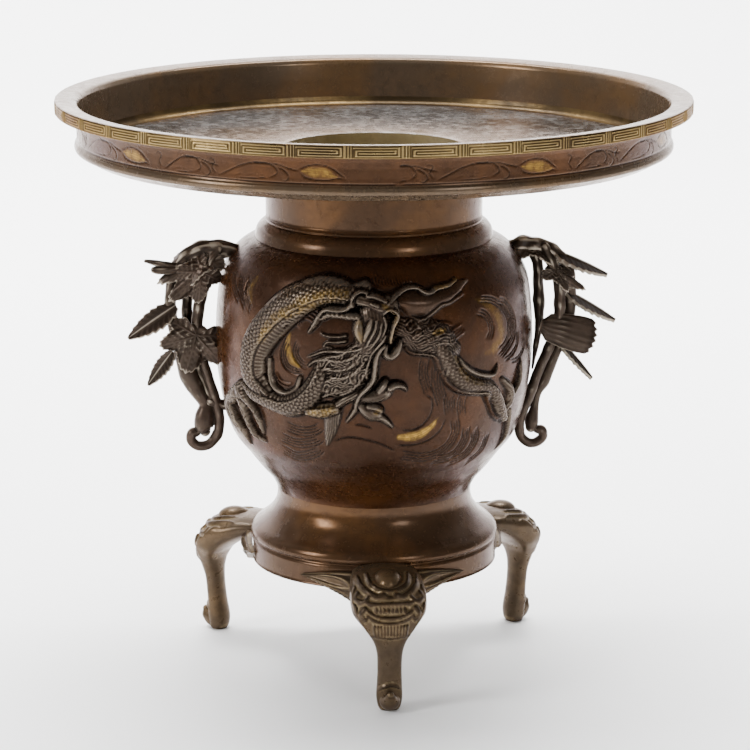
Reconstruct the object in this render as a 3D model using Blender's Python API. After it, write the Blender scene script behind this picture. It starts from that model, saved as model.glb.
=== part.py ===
"""Bronze ikebana vase of the usubata kind, in metres, +Z up.

The origin is on the floor, under the middle of the vase. The front leg and the dragon look along -Y,
and the two vine handles stand at -X and +X. Every piece is a closed solid.
"""

import math

import bmesh
import bpy
import numpy as np
from mathutils import Matrix, Vector

MM = 0.001
GAP = 0.3 * MM  # air left between two pieces that touch

# Heights, stacked from the floor upward
LEG_HEIGHT = 52.6 * MM
FOOT_RING_HEIGHT = 12.0 * MM
FLARE_HEIGHT = 22.0 * MM
WAIST_HEIGHT = 6.4 * MM
BELLY_HEIGHT = 128.0 * MM
COLLAR_HEIGHT = 9.0 * MM
NECK_HEIGHT = 33.7 * MM

# Outer radii of the body
FOOT_RING_RADIUS = 62.8 * MM
FOOT_RIDGE = 0.9 * MM  # how far the bead above the foot ring stands out
WAIST_RADIUS = 49.8 * MM
BELLY_RADIUS = 80.8 * MM
COLLAR_RADIUS = 60.4 * MM
NECK_RADIUS = 54.9 * MM

# Walls of the body
BODY_WALL = 3.2 * MM
NECK_WALL = 3.6 * MM
FOOT_RING_WIDTH = 6.0 * MM
FOOT_RECESS = 2.4 * MM  # how far the bottom plate lies above the underside of the foot ring
BOTTOM_PLATE = 3.0 * MM

# The dish
RIM_RADIUS = 160.0 * MM
RIM_WIDTH = 11.1 * MM
RIM_BAND_HEIGHT = 6.2 * MM
RIM_FALL = 1.3 * MM  # the flat rim slopes down this much towards the inside
DISH_WALL_RADIUS = 149.2 * MM
DISH_LIP_PROUD = 1.1 * MM
DISH_LIP_HEIGHT = 4.6 * MM
DISH_WALL = 3.0 * MM
DISH_FLOOR = 2.6 * MM
DISH_DEPTH = 28.5 * MM
DISH_LIP_RISE = 2.9 * MM  # the underside curves up this much to the lip
HOLE_RADIUS = 46.5 * MM
SPIGOT_DEPTH = 20.0 * MM
SPIGOT_CLEARANCE = 0.4 * MM

# The legs
LEG_COUNT = 3
LEG_FOOT_REACH = 28.7 * MM  # from the foot ring out to the middle of the shaft
LEG_SHAFT_WIDTH = 12.0 * MM
LEG_SHAFT_DEPTH = 9.4 * MM
MASK_WIDTH = 37.8 * MM
NOSE_RADIUS = 6.2 * MM
WING_SPAN = 37.0  # degrees round the foot ring, from the middle of the mask to a wing's tip

# The handles
STEM_RADIUS = 2.9 * MM
LEAF_THICKNESS = 1.5 * MM

# How finely the round forms are drawn
BODY_SEGMENTS = 36
DISH_SEGMENTS = 48

RING_BASE = LEG_HEIGHT
RING_TOP = RING_BASE + FOOT_RING_HEIGHT
FLARE_TOP = RING_TOP + FLARE_HEIGHT
BELLY_BASE = FLARE_TOP + WAIST_HEIGHT
BELLY_TOP = BELLY_BASE + BELLY_HEIGHT
COLLAR_TOP = BELLY_TOP + COLLAR_HEIGHT
NECK_TOP = COLLAR_TOP + NECK_HEIGHT
DISH_BASE = NECK_TOP + GAP
DISH_TOP = DISH_BASE + DISH_DEPTH
CAVITY_FLOOR = RING_BASE + FOOT_RECESS + BOTTOM_PLATE

# The belly's outline: share of its height, then how full it is between its end radius and its widest
BELLY_LOWER = ((0.0, 0.01), (0.04, 0.12), (0.086, 0.29), (0.148, 0.49), (0.21, 0.695), (0.29, 0.83),
               (0.41, 0.945), (0.57, 1.0))
BELLY_UPPER = ((0.74, 0.96), (0.85, 0.865), (0.92, 0.68), (0.97, 0.46), (1.0, 0.04))
# The foot's flare: share of its height, then of its spread, from the bead up to the waist
FLARE = ((0.08, 1.0), (0.21, 0.985), (0.31, 0.90), (0.42, 0.63), (0.58, 0.35), (0.78, 0.11))
# The collar's convex slope, from its lower edge up to the neck, in the same way
COLLAR = ((0.1, 1.0), (0.6, 0.79), (0.88, 0.34))

# Heights of the cavity's outline, as shares of the belly's height, from the top down
CAVITY_SHARES = (0.93, 0.82, 0.57, 0.33, 0.17)

# The dragon and the handles are drawn on a sheet that is this many units high, from the belly's base to
# its top. Each station of one of the dragon's forms is: along to the right of the front, up from the base,
# lift of the form's middle over the wall, half width and half thickness.
DRAWING_HEIGHT = 128.0
UNIT = BELLY_HEIGHT / DRAWING_HEIGHT
COIL = ((-13, 112, 1.0, 4, 4), (-26, 113, 1.2, 6.5, 5), (-36, 111, 1.4, 8.6, 5.6), (-46, 107.5, 1.5, 9, 6),
        (-55, 102, 1.6, 9.3, 6), (-62, 93.5, 1.6, 9.6, 6.2), (-67.5, 84, 1.6, 10, 6.4),
        (-70.5, 74, 1.4, 10.3, 6.2), (-70, 65, 0.8, 10, 5.6), (-64, 59.5, 0.2, 8, 5))
LOWER_COIL = ((-78, 66, -1.2, 4, 3), (-70, 60, 0.6, 6, 4.6), (-60, 56, 1.0, 7, 5), (-49, 54.5, 1.2, 7, 5),
              (-41, 58.5, 1.2, 7, 5), (-37, 66, 0.6, 6, 4.6), (-35.5, 76, -0.6, 5, 4))
FIN = ((-24, 57, 0.2, 3.6, 1.4), (-26, 46, 0.2, 3, 1.3), (-31, 37.5, 0.1, 1, 1.0))
SHOULDER = ((6, 99, 0.0, 7, 5), (16, 96.5, 0.2, 10, 5.4), (26, 91.5, 0.2, 10, 5), (34, 83, 0.2, 8.4, 4.4))
THIGH = ((24, 92, 0.4, 6, 4.4), (29.5, 82, 0.8, 6.4, 4.6), (35.5, 73, 0.9, 6, 4.6), (43, 67.5, 0.9, 5.4, 4.4),
         (52, 65.8, 0.8, 5, 4.2), (60, 63.5, 0.7, 5, 4), (64.5, 56, 0.6, 4.6, 3.6), (67, 47, 0.2, 4, 3))
CLOUD = ((4, 108, 0.4, 4, 3), (13, 110, 1.6, 7.6, 3.6), (23, 110, 1.2, 6.6, 2.8), (33, 113, 0.5, 4, 2),
         (43, 115, 0.0, 1.6, 1.2))
RIDGED_HORN = ((-12, 104.6, 8.4, 2, 2), (-26, 105, 7.4, 1.9, 1.9), (-32, 103, 6.0, 1.6, 1.6),
               (-39, 94.6, 2.4, 0.6, 0.8))
UPPER_LIP = ((-3, 106.5, 12.4, 1.3, 1.6), (2, 106, 12.8, 1.4, 1.7), (3.4, 101, 12.0, 1.4, 1.7),
             (1.6, 94, 10.2, 1.5, 1.7), (0.6, 88.6, 8.0, 1.4, 1.6))
LOWER_JAW = ((-6, 93, 6.0, 3, 3.4), (1, 86, 5.4, 3.4, 3.2), (6, 88, 4.4, 3.2, 3.0), (8.5, 92.5, 3.4, 1.8, 2.4))
FOREARM = ((-24, 62, 0.6, 4, 4), (-15, 63.5, 2.2, 4.4, 4), (-9, 62, 3.2, 3.6, 3.6))
MANE = (
    ((-12, 94, 7.0, 2.0, 2.2), (-24, 90, 4.6, 1.8, 2.2), (-34, 91.5, 2.0, 1.4, 1.6), (-41, 82, 0.5, 0.8, 0.8)),
    ((-11, 91, 7.0, 2.4, 2.4), (-21, 83, 5.0, 2.2, 2.2), (-31, 84, 2.6, 1.6, 1.8), (-40, 79, 0.5, 0.8, 0.8)),
    ((-9, 88, 7.0, 2.8, 2.6), (-17, 78, 5.4, 2.6, 2.4), (-27, 76, 3.4, 2.0, 2.2), (-37, 70, 3.0, 0.8, 0.8)),
    ((-7, 86, 6.8, 3.0, 2.8), (-13, 74, 5.4, 2.8, 2.6), (-22, 68, 4.0, 2.4, 2.4), (-32, 62, 4.0, 0.8, 0.8)),
    ((-3, 86, 6.8, 2.8, 2.6), (-7, 76, 5.4, 2.8, 2.6), (-15, 67, 4.0, 2.2, 2.4), (-22, 62, 2.6, 0.8, 0.8)),
)
TOES = (
    ((-11, 64, 3.4, 2.8, 3.0), (-4, 65, 4.4, 3.0, 3.0), (-1.5, 69, 4.8, 1.8, 2.0), (2, 69, 4.8, 1.7, 1.8),
     (8.4, 67.5, 3.6, 0.5, 0.6)),
    ((-12, 60, 2.6, 2.6, 2.8), (-6, 55.5, 3.4, 2.8, 2.8), (-3.5, 54, 3.8, 1.8, 2.0), (2, 48.4, 2.4, 0.5, 0.6)),
)
SIDE_PAWS = (
    ((-92, 57, 0.4, 4, 3.6), (-95, 50, 1.2, 3.2, 2.8), (-92, 40, 1.2, 2.6, 2.2), (-88, 30, 0.1, 0.7, 0.8)),
    ((-92, 57, 0.4, 4, 3.6), (-85, 51, 1.2, 2.6, 2.4), (-80, 40, 1.4, 2.4, 2.2), (-76, 31, 0.8, 2.0, 1.8)),
    ((-90, 57, 0.4, 4, 3.6), (-79, 51, 1.0, 2.2, 2.0), (-72, 42, 1.2, 2.0, 1.8), (-69.5, 34, 0.8, 2.0, 1.8)),
    ((66, 52, 0.6, 3.4, 3), (73, 46, 1.2, 2.4, 2.2), (79, 37, 0.8, 1.6, 1.6), (80, 28, 0.1, 0.6, 0.7)),
    ((66, 58, 0.6, 3.2, 3), (77, 59, 1.2, 2.4, 2.2), (84, 66, 0.8, 1.4, 1.4), (86, 74, 0.1, 0.6, 0.7)),
)
# Balls of the head: along, up, lift, then half sizes along, up and out
HEAD_BALLS = ((-6, 104, 5.4, 8.6, 7.4, 6.8), (1.6, 105.4, 7.4, 6, 6.6, 5.6), (-12, 97.5, 4.6, 6.4, 7, 5.6),
              (-11.4, 112, 6.0, 3.8, 4.6, 3.4))

# A leg's stations: out as a share of its reach, level, width from shaft (0) to mask (1), and depth in
# half shaft depths. A level is 0 under the foot ring, 1 at the ring's top and -1 on the floor.
LEG_STATIONS = ((-0.07, 0.70, 0.78, 1.06), (0.38, 0.62, 0.93, 1.5), (0.77, 0.28, 1.0, 1.8),
                (1.03, -0.07, 0.89, 1.7), (1.11, -0.20, 0.46, 1.5), (1.10, -0.32, 0.15, 1.2),
                (1.08, -0.43, 0.02, 1.0), (1.06, -0.58, 0.0, 0.98), (1.03, -0.73, 0.02, 1.06),
                (1.0, -0.88, 0.05, 1.19), (1.0, -1.0, -0.04, 1.06))
# A wing: share of its span, level, then half height and half depth as shares of the mask's width
WING_STATIONS = ((0.15, 0.5, 0.212, 0.132), (0.4, 0.55, 0.185, 0.119), (0.72, 0.72, 0.122, 0.09),
                 (1.0, 0.82, 0.032, 0.037))
# Brows and cheeks: out, then to each side, level and radius, of which side and radius are shares of the
# mask's width
MASK_BALLS = ((0.80, 0.24, 0.78, 0.106), (1.0, 0.29, -0.05, 0.119))
NOSE_OUT = 0.63
NOSE_LEVEL = 1.24
# The spur on the toe: out, level, half width as a share of the shaft's width
SPUR_STATIONS = ((1.08, -0.93, 0.36), (1.22, -0.90, 0.28), (1.31, -0.84, 0.18), (1.33, -0.78, 0.08))
SOLE_ROUGHNESS = 0.5 * MM  # what comes this near the floor is pressed flat on it
LEG_NAMES = ("leg_front", "leg_back_right", "leg_back_left")

# Half of a leaf's outline from its base to its tip: share of its length, share of its width
LEAF_HALF = ((0.0, 0.42), (0.2, 0.27), (0.38, 0.5), (0.57, 0.2))
LEAF_CURL = 0.12
# The handles' stems, drawn beside the same sheet: out past the belly's widest, towards the front, up,
# then the girth in stem radii
LEFT_STEMS = (
    ((-14, 1, 122, 0.9), (-5, 1, 125, 1.1), (4, 0, 125, 1), (12, 0, 122, 1), (19, 0, 116, 1), (21.7, 0, 106, 0.95),
     (22.8, 0, 96, 0.95), (22, 0, 86, 1), (19.6, 0, 75, 1.05), (16.2, 1, 65, 1.15), (12.5, 1, 56, 1.3),
     (10, 1, 47, 0.95), (8, 1, 40, 0.75), (7, 1, 33, 1.45), (6, 1, 27.5, 1.1)),
    ((-2, 3, 122, 0.9), (2.3, 4, 116, 1), (6, 4, 104, 1), (8.7, 4, 91, 1), (9.6, 4, 80, 1), (7, 4, 67, 0.85),
     (4.1, 4, 57, 0.8), (0.8, 4, 46, 0.75), (-1, 3, 38, 0.8), (-1.2, 2, 30, 0.8), (0.9, 0, 24, 0.75),
     (5.1, 0, 20, 0.7), (9.7, 0, 19.4, 0.65), (13, 0, 22, 0.6), (13, 0, 26, 0.55), (10.6, 0, 27, 0.4)),
    ((14, -2, 120, 0.8), (15.6, -6, 109, 0.9), (14.3, -6, 96, 0.9), (14.4, -5, 83, 0.9), (13, -2, 72, 0.8),
     (14, 0, 63, 0.6)),
    ((3, 4, 44, 0.8), (-3, 3, 42, 0.9), (-10, 2, 41, 0.9)),
    ((15, 2, 119, 0.5), (22, 4, 119.5, 0.35), (29, 5, 118, 0.2)),
)
RIGHT_STEMS = (
    ((-14, 0, 122, 0.9), (-5, 0, 124.5, 1.1), (5, 0, 123, 1), (14, 0, 117, 1), (19, -1, 110, 1),
     (20.2, -1, 100, 1), (20.2, -1, 88, 1), (18, 0, 76, 1), (14, 0, 68, 0.95), (10.5, 0, 60, 1.05),
     (7, 0, 51, 1.1), (3.5, 0, 44, 0.8), (2.2, 0, 36, 0.8), (1, 0, 30, 1.2), (0.6, 0, 26, 1)),
    ((6, 3, 121, 0.9), (12.7, 3, 106, 1), (14, 3, 96, 1), (14, 3, 86, 0.95), (12, 3, 77, 0.9), (9.1, 3, 69, 0.9),
     (3.5, 3, 56, 0.9), (-1, 3, 43, 0.85), (-5.2, 2, 32, 0.8), (-5.6, 1, 25, 0.75), (-3.4, 0, 20, 0.7),
     (1.9, 0, 17, 0.65), (6.4, 0, 19.8, 0.6), (6.5, 0, 24.1, 0.55), (3.4, 0, 24.6, 0.4)),
    ((-2, -3, 122, 0.9), (3.4, -4, 112, 0.95), (4, -5, 101, 0.95), (4.6, -5, 90, 1), (4.6, -5, 78, 0.7),
     (3, -5, 66, 0.45), (1.6, -5, 56, 0.2)),
)
# Leaves: base and tip, each as out, front and up, the way the face looks, and the width
LEFT_LEAVES = (
    ((-8, 1, 125), (20, 3, 121), (0.2, 0.3, 1.0), 28),
    ((12, 3, 121), (26, 6, 106), (0.7, 0.5, 0.6), 16),
    ((7, 6, 117), (13, 10, 97), (0.1, 1.0, 0.35), 27),
    ((19, 2, 94), (43, 6, 77), (-0.1, 0.8, 0.6), 13),
    ((12, 6, 83), (15, 10, 59), (0.1, 1.0, 0.3), 30),
    ((16, 7, 74), (34, 8, 52), (0.2, 0.9, 0.4), 11),
)
RIGHT_LEAVES = (
    ((-8, 1, 123), (16, 2, 120), (0.2, 0.1, 1.0), 24),
    ((10, 1, 119), (38, 3, 107.5), (0.35, 0.1, 1.0), 18),
    ((6, 5, 113), (25, 8, 103), (0.4, 0.6, 0.8), 16),
    ((19, 0, 97), (43, 1, 82.5), (0.5, 0.1, 0.9), 14),
    ((7, 5, 80), (31, 9, 76), (0.2, 0.75, 0.65), 22),
    ((14, 2, 72), (33, 4, 53), (0.7, 0.1, 0.7), 9),
)

BRONZE = (0.075, 0.045, 0.028, 1.0)
DARK_BRONZE = (0.055, 0.043, 0.032, 1.0)


def clear_scene():
    for obj in list(bpy.data.objects):
        bpy.data.objects.remove(obj)


def metal(name, colour, roughness):
    made = bpy.data.materials.new(name)
    made.use_nodes = True
    shader = made.node_tree.nodes["Principled BSDF"]
    shader.inputs["Base Color"].default_value = colour
    shader.inputs["Metallic"].default_value = 1.0
    shader.inputs["Roughness"].default_value = roughness
    return made


def to_object(name, bm, material, crease=40.0):
    """Turn the bmesh into a smooth-shaded object of this name."""
    mesh = bpy.data.meshes.new(name)
    bm.to_mesh(mesh)
    bm.free()
    mesh.shade_smooth()
    mesh.set_sharp_from_angle(angle=math.radians(crease))
    mesh.materials.append(material)
    obj = bpy.data.objects.new(name, mesh)
    bpy.context.scene.collection.objects.link(obj)
    return obj


def hide(obj):
    """Keep a cutter or a piece that is joined into another out of the finished work."""
    obj.hide_render = True
    obj.display_type = "WIRE"


def boolean(target, other, operation, self_crossing=False):
    modifier = target.modifiers.new(f"{operation.lower()} {other.name}", "BOOLEAN")
    modifier.operation = operation
    modifier.object = other
    modifier.solver = "EXACT"
    modifier.use_self = self_crossing
    hide(other)


def smooth_path(points, steps):
    """A Catmull-Rom curve through the points, each a tuple of any length, with steps spans between two."""
    p = np.array(points, dtype=float)
    p = np.vstack([2 * p[0] - p[1], p, 2 * p[-1] - p[-2]])
    made = []
    for i in range(1, len(p) - 2):
        for k in range(steps):
            t = k / steps
            made.append(0.5 * (2 * p[i] + (p[i + 1] - p[i - 1]) * t
                               + (2 * p[i - 1] - 5 * p[i] + 4 * p[i + 1] - p[i + 2]) * t**2
                               + (3 * p[i] - p[i - 1] - 3 * p[i + 1] + p[i + 2]) * t**3))
    made.append(p[-2])
    return made


def turned(name, outline, segments, material):
    """Turn an outline of (radius, height) round +Z. It goes up the outside; its ends may lie on the axis."""
    bm = bmesh.new()
    rings = []
    for radius, height in outline:
        if radius < 1e-9:
            rings.append([bm.verts.new((0.0, 0.0, height))])
            continue
        angles = [2 * math.pi * k / segments for k in range(segments)]
        rings.append([bm.verts.new((radius * math.cos(a), radius * math.sin(a), height)) for a in angles])
    closed = outline[0][0] > 1e-9
    pairs = list(zip(rings, rings[1:] + rings[:1])) if closed else list(zip(rings, rings[1:]))
    for lower, upper in pairs:
        for k in range(segments):
            after = (k + 1) % segments
            corners = [lower[k % len(lower)], lower[after % len(lower)],
                       upper[after % len(upper)], upper[k % len(upper)]]
            bm.faces.new(list(dict.fromkeys(corners)))
    return to_object(name, bm, material)


def add_tube(bm, points, sizes, sides, out_of, start=0.0):
    """Add a closed tube along the points. A size is its half width across and its half thickness outward."""
    rings = []
    for i, point in enumerate(points):
        ahead = (points[min(i + 1, len(points) - 1)] - points[max(i - 1, 0)]).normalized()
        out = out_of(point)
        out = (out - ahead * out.dot(ahead)).normalized()
        across = out.cross(ahead)
        wide, thick = sizes[i]
        ring = []
        for k in range(sides):
            angle = 2 * math.pi * (k + start) / sides
            ring.append(bm.verts.new(point + across * wide * math.cos(angle) + out * thick * math.sin(angle)))
        rings.append(ring)
    for near, far in zip(rings, rings[1:]):
        for k in range(sides):
            after = (k + 1) % sides
            bm.faces.new((near[k], near[after], far[after], far[k]))
    bm.faces.new(rings[0][::-1])
    bm.faces.new(rings[-1])


def add_ball(bm, centre, half_sizes, frame=Matrix.Identity(3), detail=(8, 6)):
    """Add an ellipsoid whose half sizes lie along the columns of the frame."""
    matrix = Matrix.Translation(centre) @ frame.to_4x4() @ Matrix.Diagonal((*half_sizes, 1.0))
    bmesh.ops.create_uvsphere(bm, u_segments=detail[0], v_segments=detail[1], radius=1.0, matrix=matrix)


def one_solid(name, core, rest, material):
    """Join the bmesh of the other forms into the core, as one closed solid."""
    solid = to_object(name, core, material)
    others = to_object(f"{name}_forms", rest, material)
    boolean(solid, others, "UNION", self_crossing=True)
    return solid


# The body

def spread(outline, low, height, inner, outer):
    """Points (radius, height) of an outline whose two columns are shares of a height and of a spread."""
    return [(inner + (outer - inner) * full, low + height * share) for share, full in outline]


def body_outside():
    """The body's outer outline, from the foot ring's underside up to the top of the neck."""
    bead = FOOT_RING_RADIUS + FOOT_RIDGE
    points = [(FOOT_RING_RADIUS, RING_BASE), (FOOT_RING_RADIUS, RING_TOP)]
    points += spread(FLARE, RING_TOP, FLARE_HEIGHT, WAIST_RADIUS, bead)
    points.append((WAIST_RADIUS, FLARE_TOP))
    points += spread(BELLY_LOWER, BELLY_BASE, BELLY_HEIGHT, WAIST_RADIUS, BELLY_RADIUS)
    points += spread(BELLY_UPPER, BELLY_BASE, BELLY_HEIGHT, COLLAR_RADIUS, BELLY_RADIUS)
    points += spread(COLLAR, BELLY_TOP, COLLAR_HEIGHT, NECK_RADIUS, COLLAR_RADIUS)
    points += [(NECK_RADIUS, COLLAR_TOP), (NECK_RADIUS, NECK_TOP)]
    return points


def radius_at(height, outline):
    """The outline's radius at a height."""
    return float(np.interp(height, [point[1] for point in outline], [point[0] for point in outline]))


def body_inside(outside):
    """The cavity's outline, from the top of the neck down to the edge of its floor."""
    points = [(NECK_RADIUS - NECK_WALL, NECK_TOP), (NECK_RADIUS - NECK_WALL, COLLAR_TOP - BODY_WALL)]
    for share in CAVITY_SHARES:
        height = BELLY_BASE + BELLY_HEIGHT * share
        points.append((radius_at(height, outside) - BODY_WALL, height))
    points += [(WAIST_RADIUS - BODY_WALL, BELLY_BASE), (WAIST_RADIUS - BODY_WALL, FLARE_TOP)]
    flare_middle = RING_TOP + 0.45 * FLARE_HEIGHT
    points.append((radius_at(flare_middle, outside) - 1.4 * BODY_WALL, flare_middle))
    points.append((FOOT_RING_RADIUS - FOOT_RING_WIDTH, RING_TOP))
    points.append((FOOT_RING_RADIUS - FOOT_RING_WIDTH, CAVITY_FLOOR))
    return points


def clearance_outline(outside):
    """The body's outer outline moved out by the gap, closed on the axis, for cutting what fits against it."""
    p = np.array(outside)
    ahead = np.gradient(p, axis=0)
    ahead /= np.linalg.norm(ahead, axis=1)[:, None]
    moved = p + GAP * np.stack([ahead[:, 1], -ahead[:, 0]], axis=1)
    return [(0.0, moved[0][1] - GAP)] + [tuple(point) for point in moved] + [(0.0, moved[-1][1])]


def outward(point):
    """The level direction from the axis to the point."""
    return Vector((point.x, point.y, 0.0)).normalized()


def on_belly(along, up, lift, outside):
    """A point of the relief's drawing on the belly, lifted out from its wall."""
    angle = along * UNIT / BELLY_RADIUS
    height = BELLY_BASE + up * UNIT
    radius = radius_at(height, outside) + lift * UNIT
    return Vector((radius * math.sin(angle), -radius * math.cos(angle), height))


def add_relief(bm, stations, sides, outside, steps=1):
    """Add one limb, lock or ridge of the dragon, along its stations over the belly."""
    path = smooth_path(stations, steps)
    points = [on_belly(*station[:3], outside) for station in path]
    sizes = [(station[3] * UNIT, station[4] * UNIT) for station in path]
    add_tube(bm, points, sizes, sides, outward)


def dragon(outside):
    """The dragon and its clouds as one bmesh of overlapping closed forms."""
    bm = bmesh.new()
    for stations in (COIL, LOWER_COIL, SHOULDER, THIGH):
        add_relief(bm, stations, 8, outside)
    for stations in (CLOUD, LOWER_JAW):
        add_relief(bm, stations, 6, outside)
    for stations in (RIDGED_HORN, UPPER_LIP, FIN, FOREARM, *MANE, *TOES, *SIDE_PAWS):
        add_relief(bm, stations, 4, outside)
    for along, up, lift, half_along, half_up, half_out in HEAD_BALLS:
        centre = on_belly(along, up, lift, outside)
        out = outward(centre)
        frame = Matrix((Vector((0, 0, 1)).cross(out), Vector((0, 0, 1)), out)).transposed()
        add_ball(bm, centre, (half_along * UNIT, half_up * UNIT, half_out * UNIT), frame)
    return bm


def make_body(outside, bronze):
    ring_inside = FOOT_RING_RADIUS - FOOT_RING_WIDTH
    underside = [(0.0, RING_BASE + FOOT_RECESS), (ring_inside, RING_BASE + FOOT_RECESS), (ring_inside, RING_BASE)]
    outline = underside + outside + body_inside(outside) + [(0.0, CAVITY_FLOOR)]
    body = turned("vase_body", outline, BODY_SEGMENTS, bronze)
    figure = to_object("dragon_forms", dragon(outside), bronze)
    boolean(body, figure, "UNION", self_crossing=True)
    return body


# The dish

def make_dish(bronze):
    """The broad dish, from its hole out over the floor, up the wall, round the rim and back underneath."""
    floor = DISH_BASE + DISH_FLOOR
    wall_inside = DISH_WALL_RADIUS - DISH_WALL
    lip_base = DISH_BASE + DISH_LIP_RISE
    lip_top = lip_base + DISH_LIP_HEIGHT
    lip_radius = DISH_WALL_RADIUS + DISH_LIP_PROUD
    band_base = DISH_TOP - RIM_BAND_HEIGHT
    spigot_radius = NECK_RADIUS - NECK_WALL - SPIGOT_CLEARANCE
    rim_inside = RIM_RADIUS - RIM_WIDTH
    outline = [
        (HOLE_RADIUS, DISH_BASE - SPIGOT_DEPTH),
        (spigot_radius, DISH_BASE - SPIGOT_DEPTH),
        (spigot_radius, DISH_BASE),
        (wall_inside - DISH_WALL, DISH_BASE),
        (lip_radius - 2 * DISH_LIP_PROUD, lip_base),
        (lip_radius, lip_base + 0.3 * DISH_LIP_HEIGHT),
        (lip_radius, lip_top - 0.3 * DISH_LIP_PROUD),
        (DISH_WALL_RADIUS, lip_top),
        (DISH_WALL_RADIUS + DISH_LIP_PROUD, band_base - 0.1 * DISH_LIP_HEIGHT),
        (RIM_RADIUS, band_base),
        (RIM_RADIUS, DISH_TOP),
        (rim_inside, DISH_TOP - RIM_FALL),
        (0.5 * (rim_inside + wall_inside), 0.5 * (DISH_TOP - RIM_FALL + floor) + DISH_WALL),
        (wall_inside, floor + DISH_WALL),
        (wall_inside - DISH_WALL, floor),
        (HOLE_RADIUS, floor),
    ]
    return turned("dish", outline, DISH_SEGMENTS, bronze)


# The legs

def leg_point(turn, out, side, level):
    """A point of a leg: its turn from the front, out from the foot ring, to the side, and its level."""
    away = FOOT_RING_RADIUS + out * LEG_FOOT_REACH
    height = RING_BASE + level * (FOOT_RING_HEIGHT if level > 0 else LEG_HEIGHT)
    return Matrix.Rotation(turn, 3, "Z") @ Vector((side, -away, height))


def make_leg(name, turn, cutter, bronze):
    """One leg: mask, wings and shaft, cut to sit against the foot."""
    path = smooth_path(LEG_STATIONS, 1)
    half_mask, half_shaft = MASK_WIDTH / 2, LEG_SHAFT_WIDTH / 2
    sizes = [(half_shaft + (half_mask - half_shaft) * wide, LEG_SHAFT_DEPTH / 2 * deep) for _, _, wide, deep in path]
    facing = Matrix.Rotation(turn, 3, "Z") @ Vector((0.0, -0.34, 0.94))
    core = bmesh.new()
    add_tube(core, [leg_point(turn, out, 0, level) for out, level, _, _ in path], sizes, 8, lambda point: facing)
    # The sole is flat on the floor
    for vert in core.verts:
        if vert.co.z < SOLE_ROUGHNESS:
            vert.co.z = 0.0
    rest = bmesh.new()
    for side in (-1, 1):
        wing = []
        for share, level, _, half_depth in WING_STATIONS:
            out = (FOOT_RIDGE + 0.6 * half_depth * MASK_WIDTH) / LEG_FOOT_REACH
            wing.append(leg_point(turn + side * math.radians(WING_SPAN) * share, out, 0, level))
        wing_sizes = [(MASK_WIDTH * high, MASK_WIDTH * deep) for _, _, high, deep in WING_STATIONS]
        add_tube(rest, wing, wing_sizes, 4, outward)
        for out, share, level, radius in MASK_BALLS:
            add_ball(rest, leg_point(turn, out, side * share * MASK_WIDTH, level), (radius * MASK_WIDTH,) * 3,
                     detail=(6, 4))
    add_ball(rest, leg_point(turn, NOSE_OUT, 0, NOSE_LEVEL), (NOSE_RADIUS,) * 3)
    spur = [leg_point(turn, out, 0, level) for out, level, _ in SPUR_STATIONS]
    spur_sizes = [(half * LEG_SHAFT_WIDTH, 0.8 * half * LEG_SHAFT_WIDTH) for _, _, half in SPUR_STATIONS]
    add_tube(rest, spur, spur_sizes, 4, lambda point: Vector((0.0, 0.0, 1.0)))
    leg = one_solid(name, core, rest, bronze)
    boolean(leg, cutter, "DIFFERENCE")
    return leg


# The handles

def on_handle(side, off, across, up):
    """A point of a handle's drawing: out past the belly's widest, towards the front, and up from its base."""
    return Vector((side * (BELLY_RADIUS + off * UNIT), -across * UNIT, BELLY_BASE + up * UNIT))


def leaf_outline():
    """The whole outline of a leaf: base notch, one side, tip, other side."""
    return [(0.06, 0.0), *LEAF_HALF, (1.0, 0.0), *[(reach, -share) for reach, share in LEAF_HALF[::-1]]]


def add_leaf(bm, base, tip, facing, width):
    """Add a five-lobed leaf that droops from its base to its tip."""
    length = (tip - base).length
    ahead = (tip - base).normalized()
    face = (facing - ahead * facing.dot(ahead)).normalized()
    across = face.cross(ahead)
    rims = []
    for surface in (0.5, -0.5):
        rim = []
        for reach, share in leaf_outline():
            droop = -LEAF_CURL * length * (reach**2 + share**2)
            place = base + ahead * length * reach + across * width * share
            rim.append(bm.verts.new(place + face * (droop + surface * LEAF_THICKNESS)))
        rims.append(rim)
    top, bottom = rims
    count = len(top)
    for k in range(count):
        after = (k + 1) % count
        bm.faces.new((top[k], bottom[k], bottom[after], top[after]))
    for rim, turned_over in ((top, False), (bottom, True)):
        middle = sum((vert.co for vert in rim), Vector()) / count
        centre = bm.verts.new(middle + face * (0.04 * length))
        for k in range(count):
            corners = (rim[k], rim[(k + 1) % count], centre)
            bm.faces.new(corners[::-1] if turned_over else corners)


def make_handle(name, side, stems, leaves, cutter, bronze):
    """One handle: vine stems with their leaves, cut to sit against the belly."""
    forms = []
    for stations in stems:
        path = smooth_path(stations, 1)
        points = [on_handle(side, *station[:3]) for station in path]
        sizes = [(station[3] * STEM_RADIUS,) * 2 for station in path]
        forms.append((points, sizes))
    core = bmesh.new()
    add_tube(core, *forms[0], 5, lambda point: Vector((0.0, -1.0, 0.0)))
    rest = bmesh.new()
    for points, sizes in forms[1:]:
        add_tube(rest, points, sizes, 5, lambda point: Vector((0.0, -1.0, 0.0)))
    for base, tip, facing, width in leaves:
        toward = Vector((side * facing[0], -facing[1], facing[2]))
        add_leaf(rest, on_handle(side, *base), on_handle(side, *tip), toward, width * UNIT)
    bmesh.ops.recalc_face_normals(rest, faces=rest.faces)
    handle = one_solid(name, core, rest, bronze)
    boolean(handle, cutter, "DIFFERENCE")
    return handle


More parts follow.
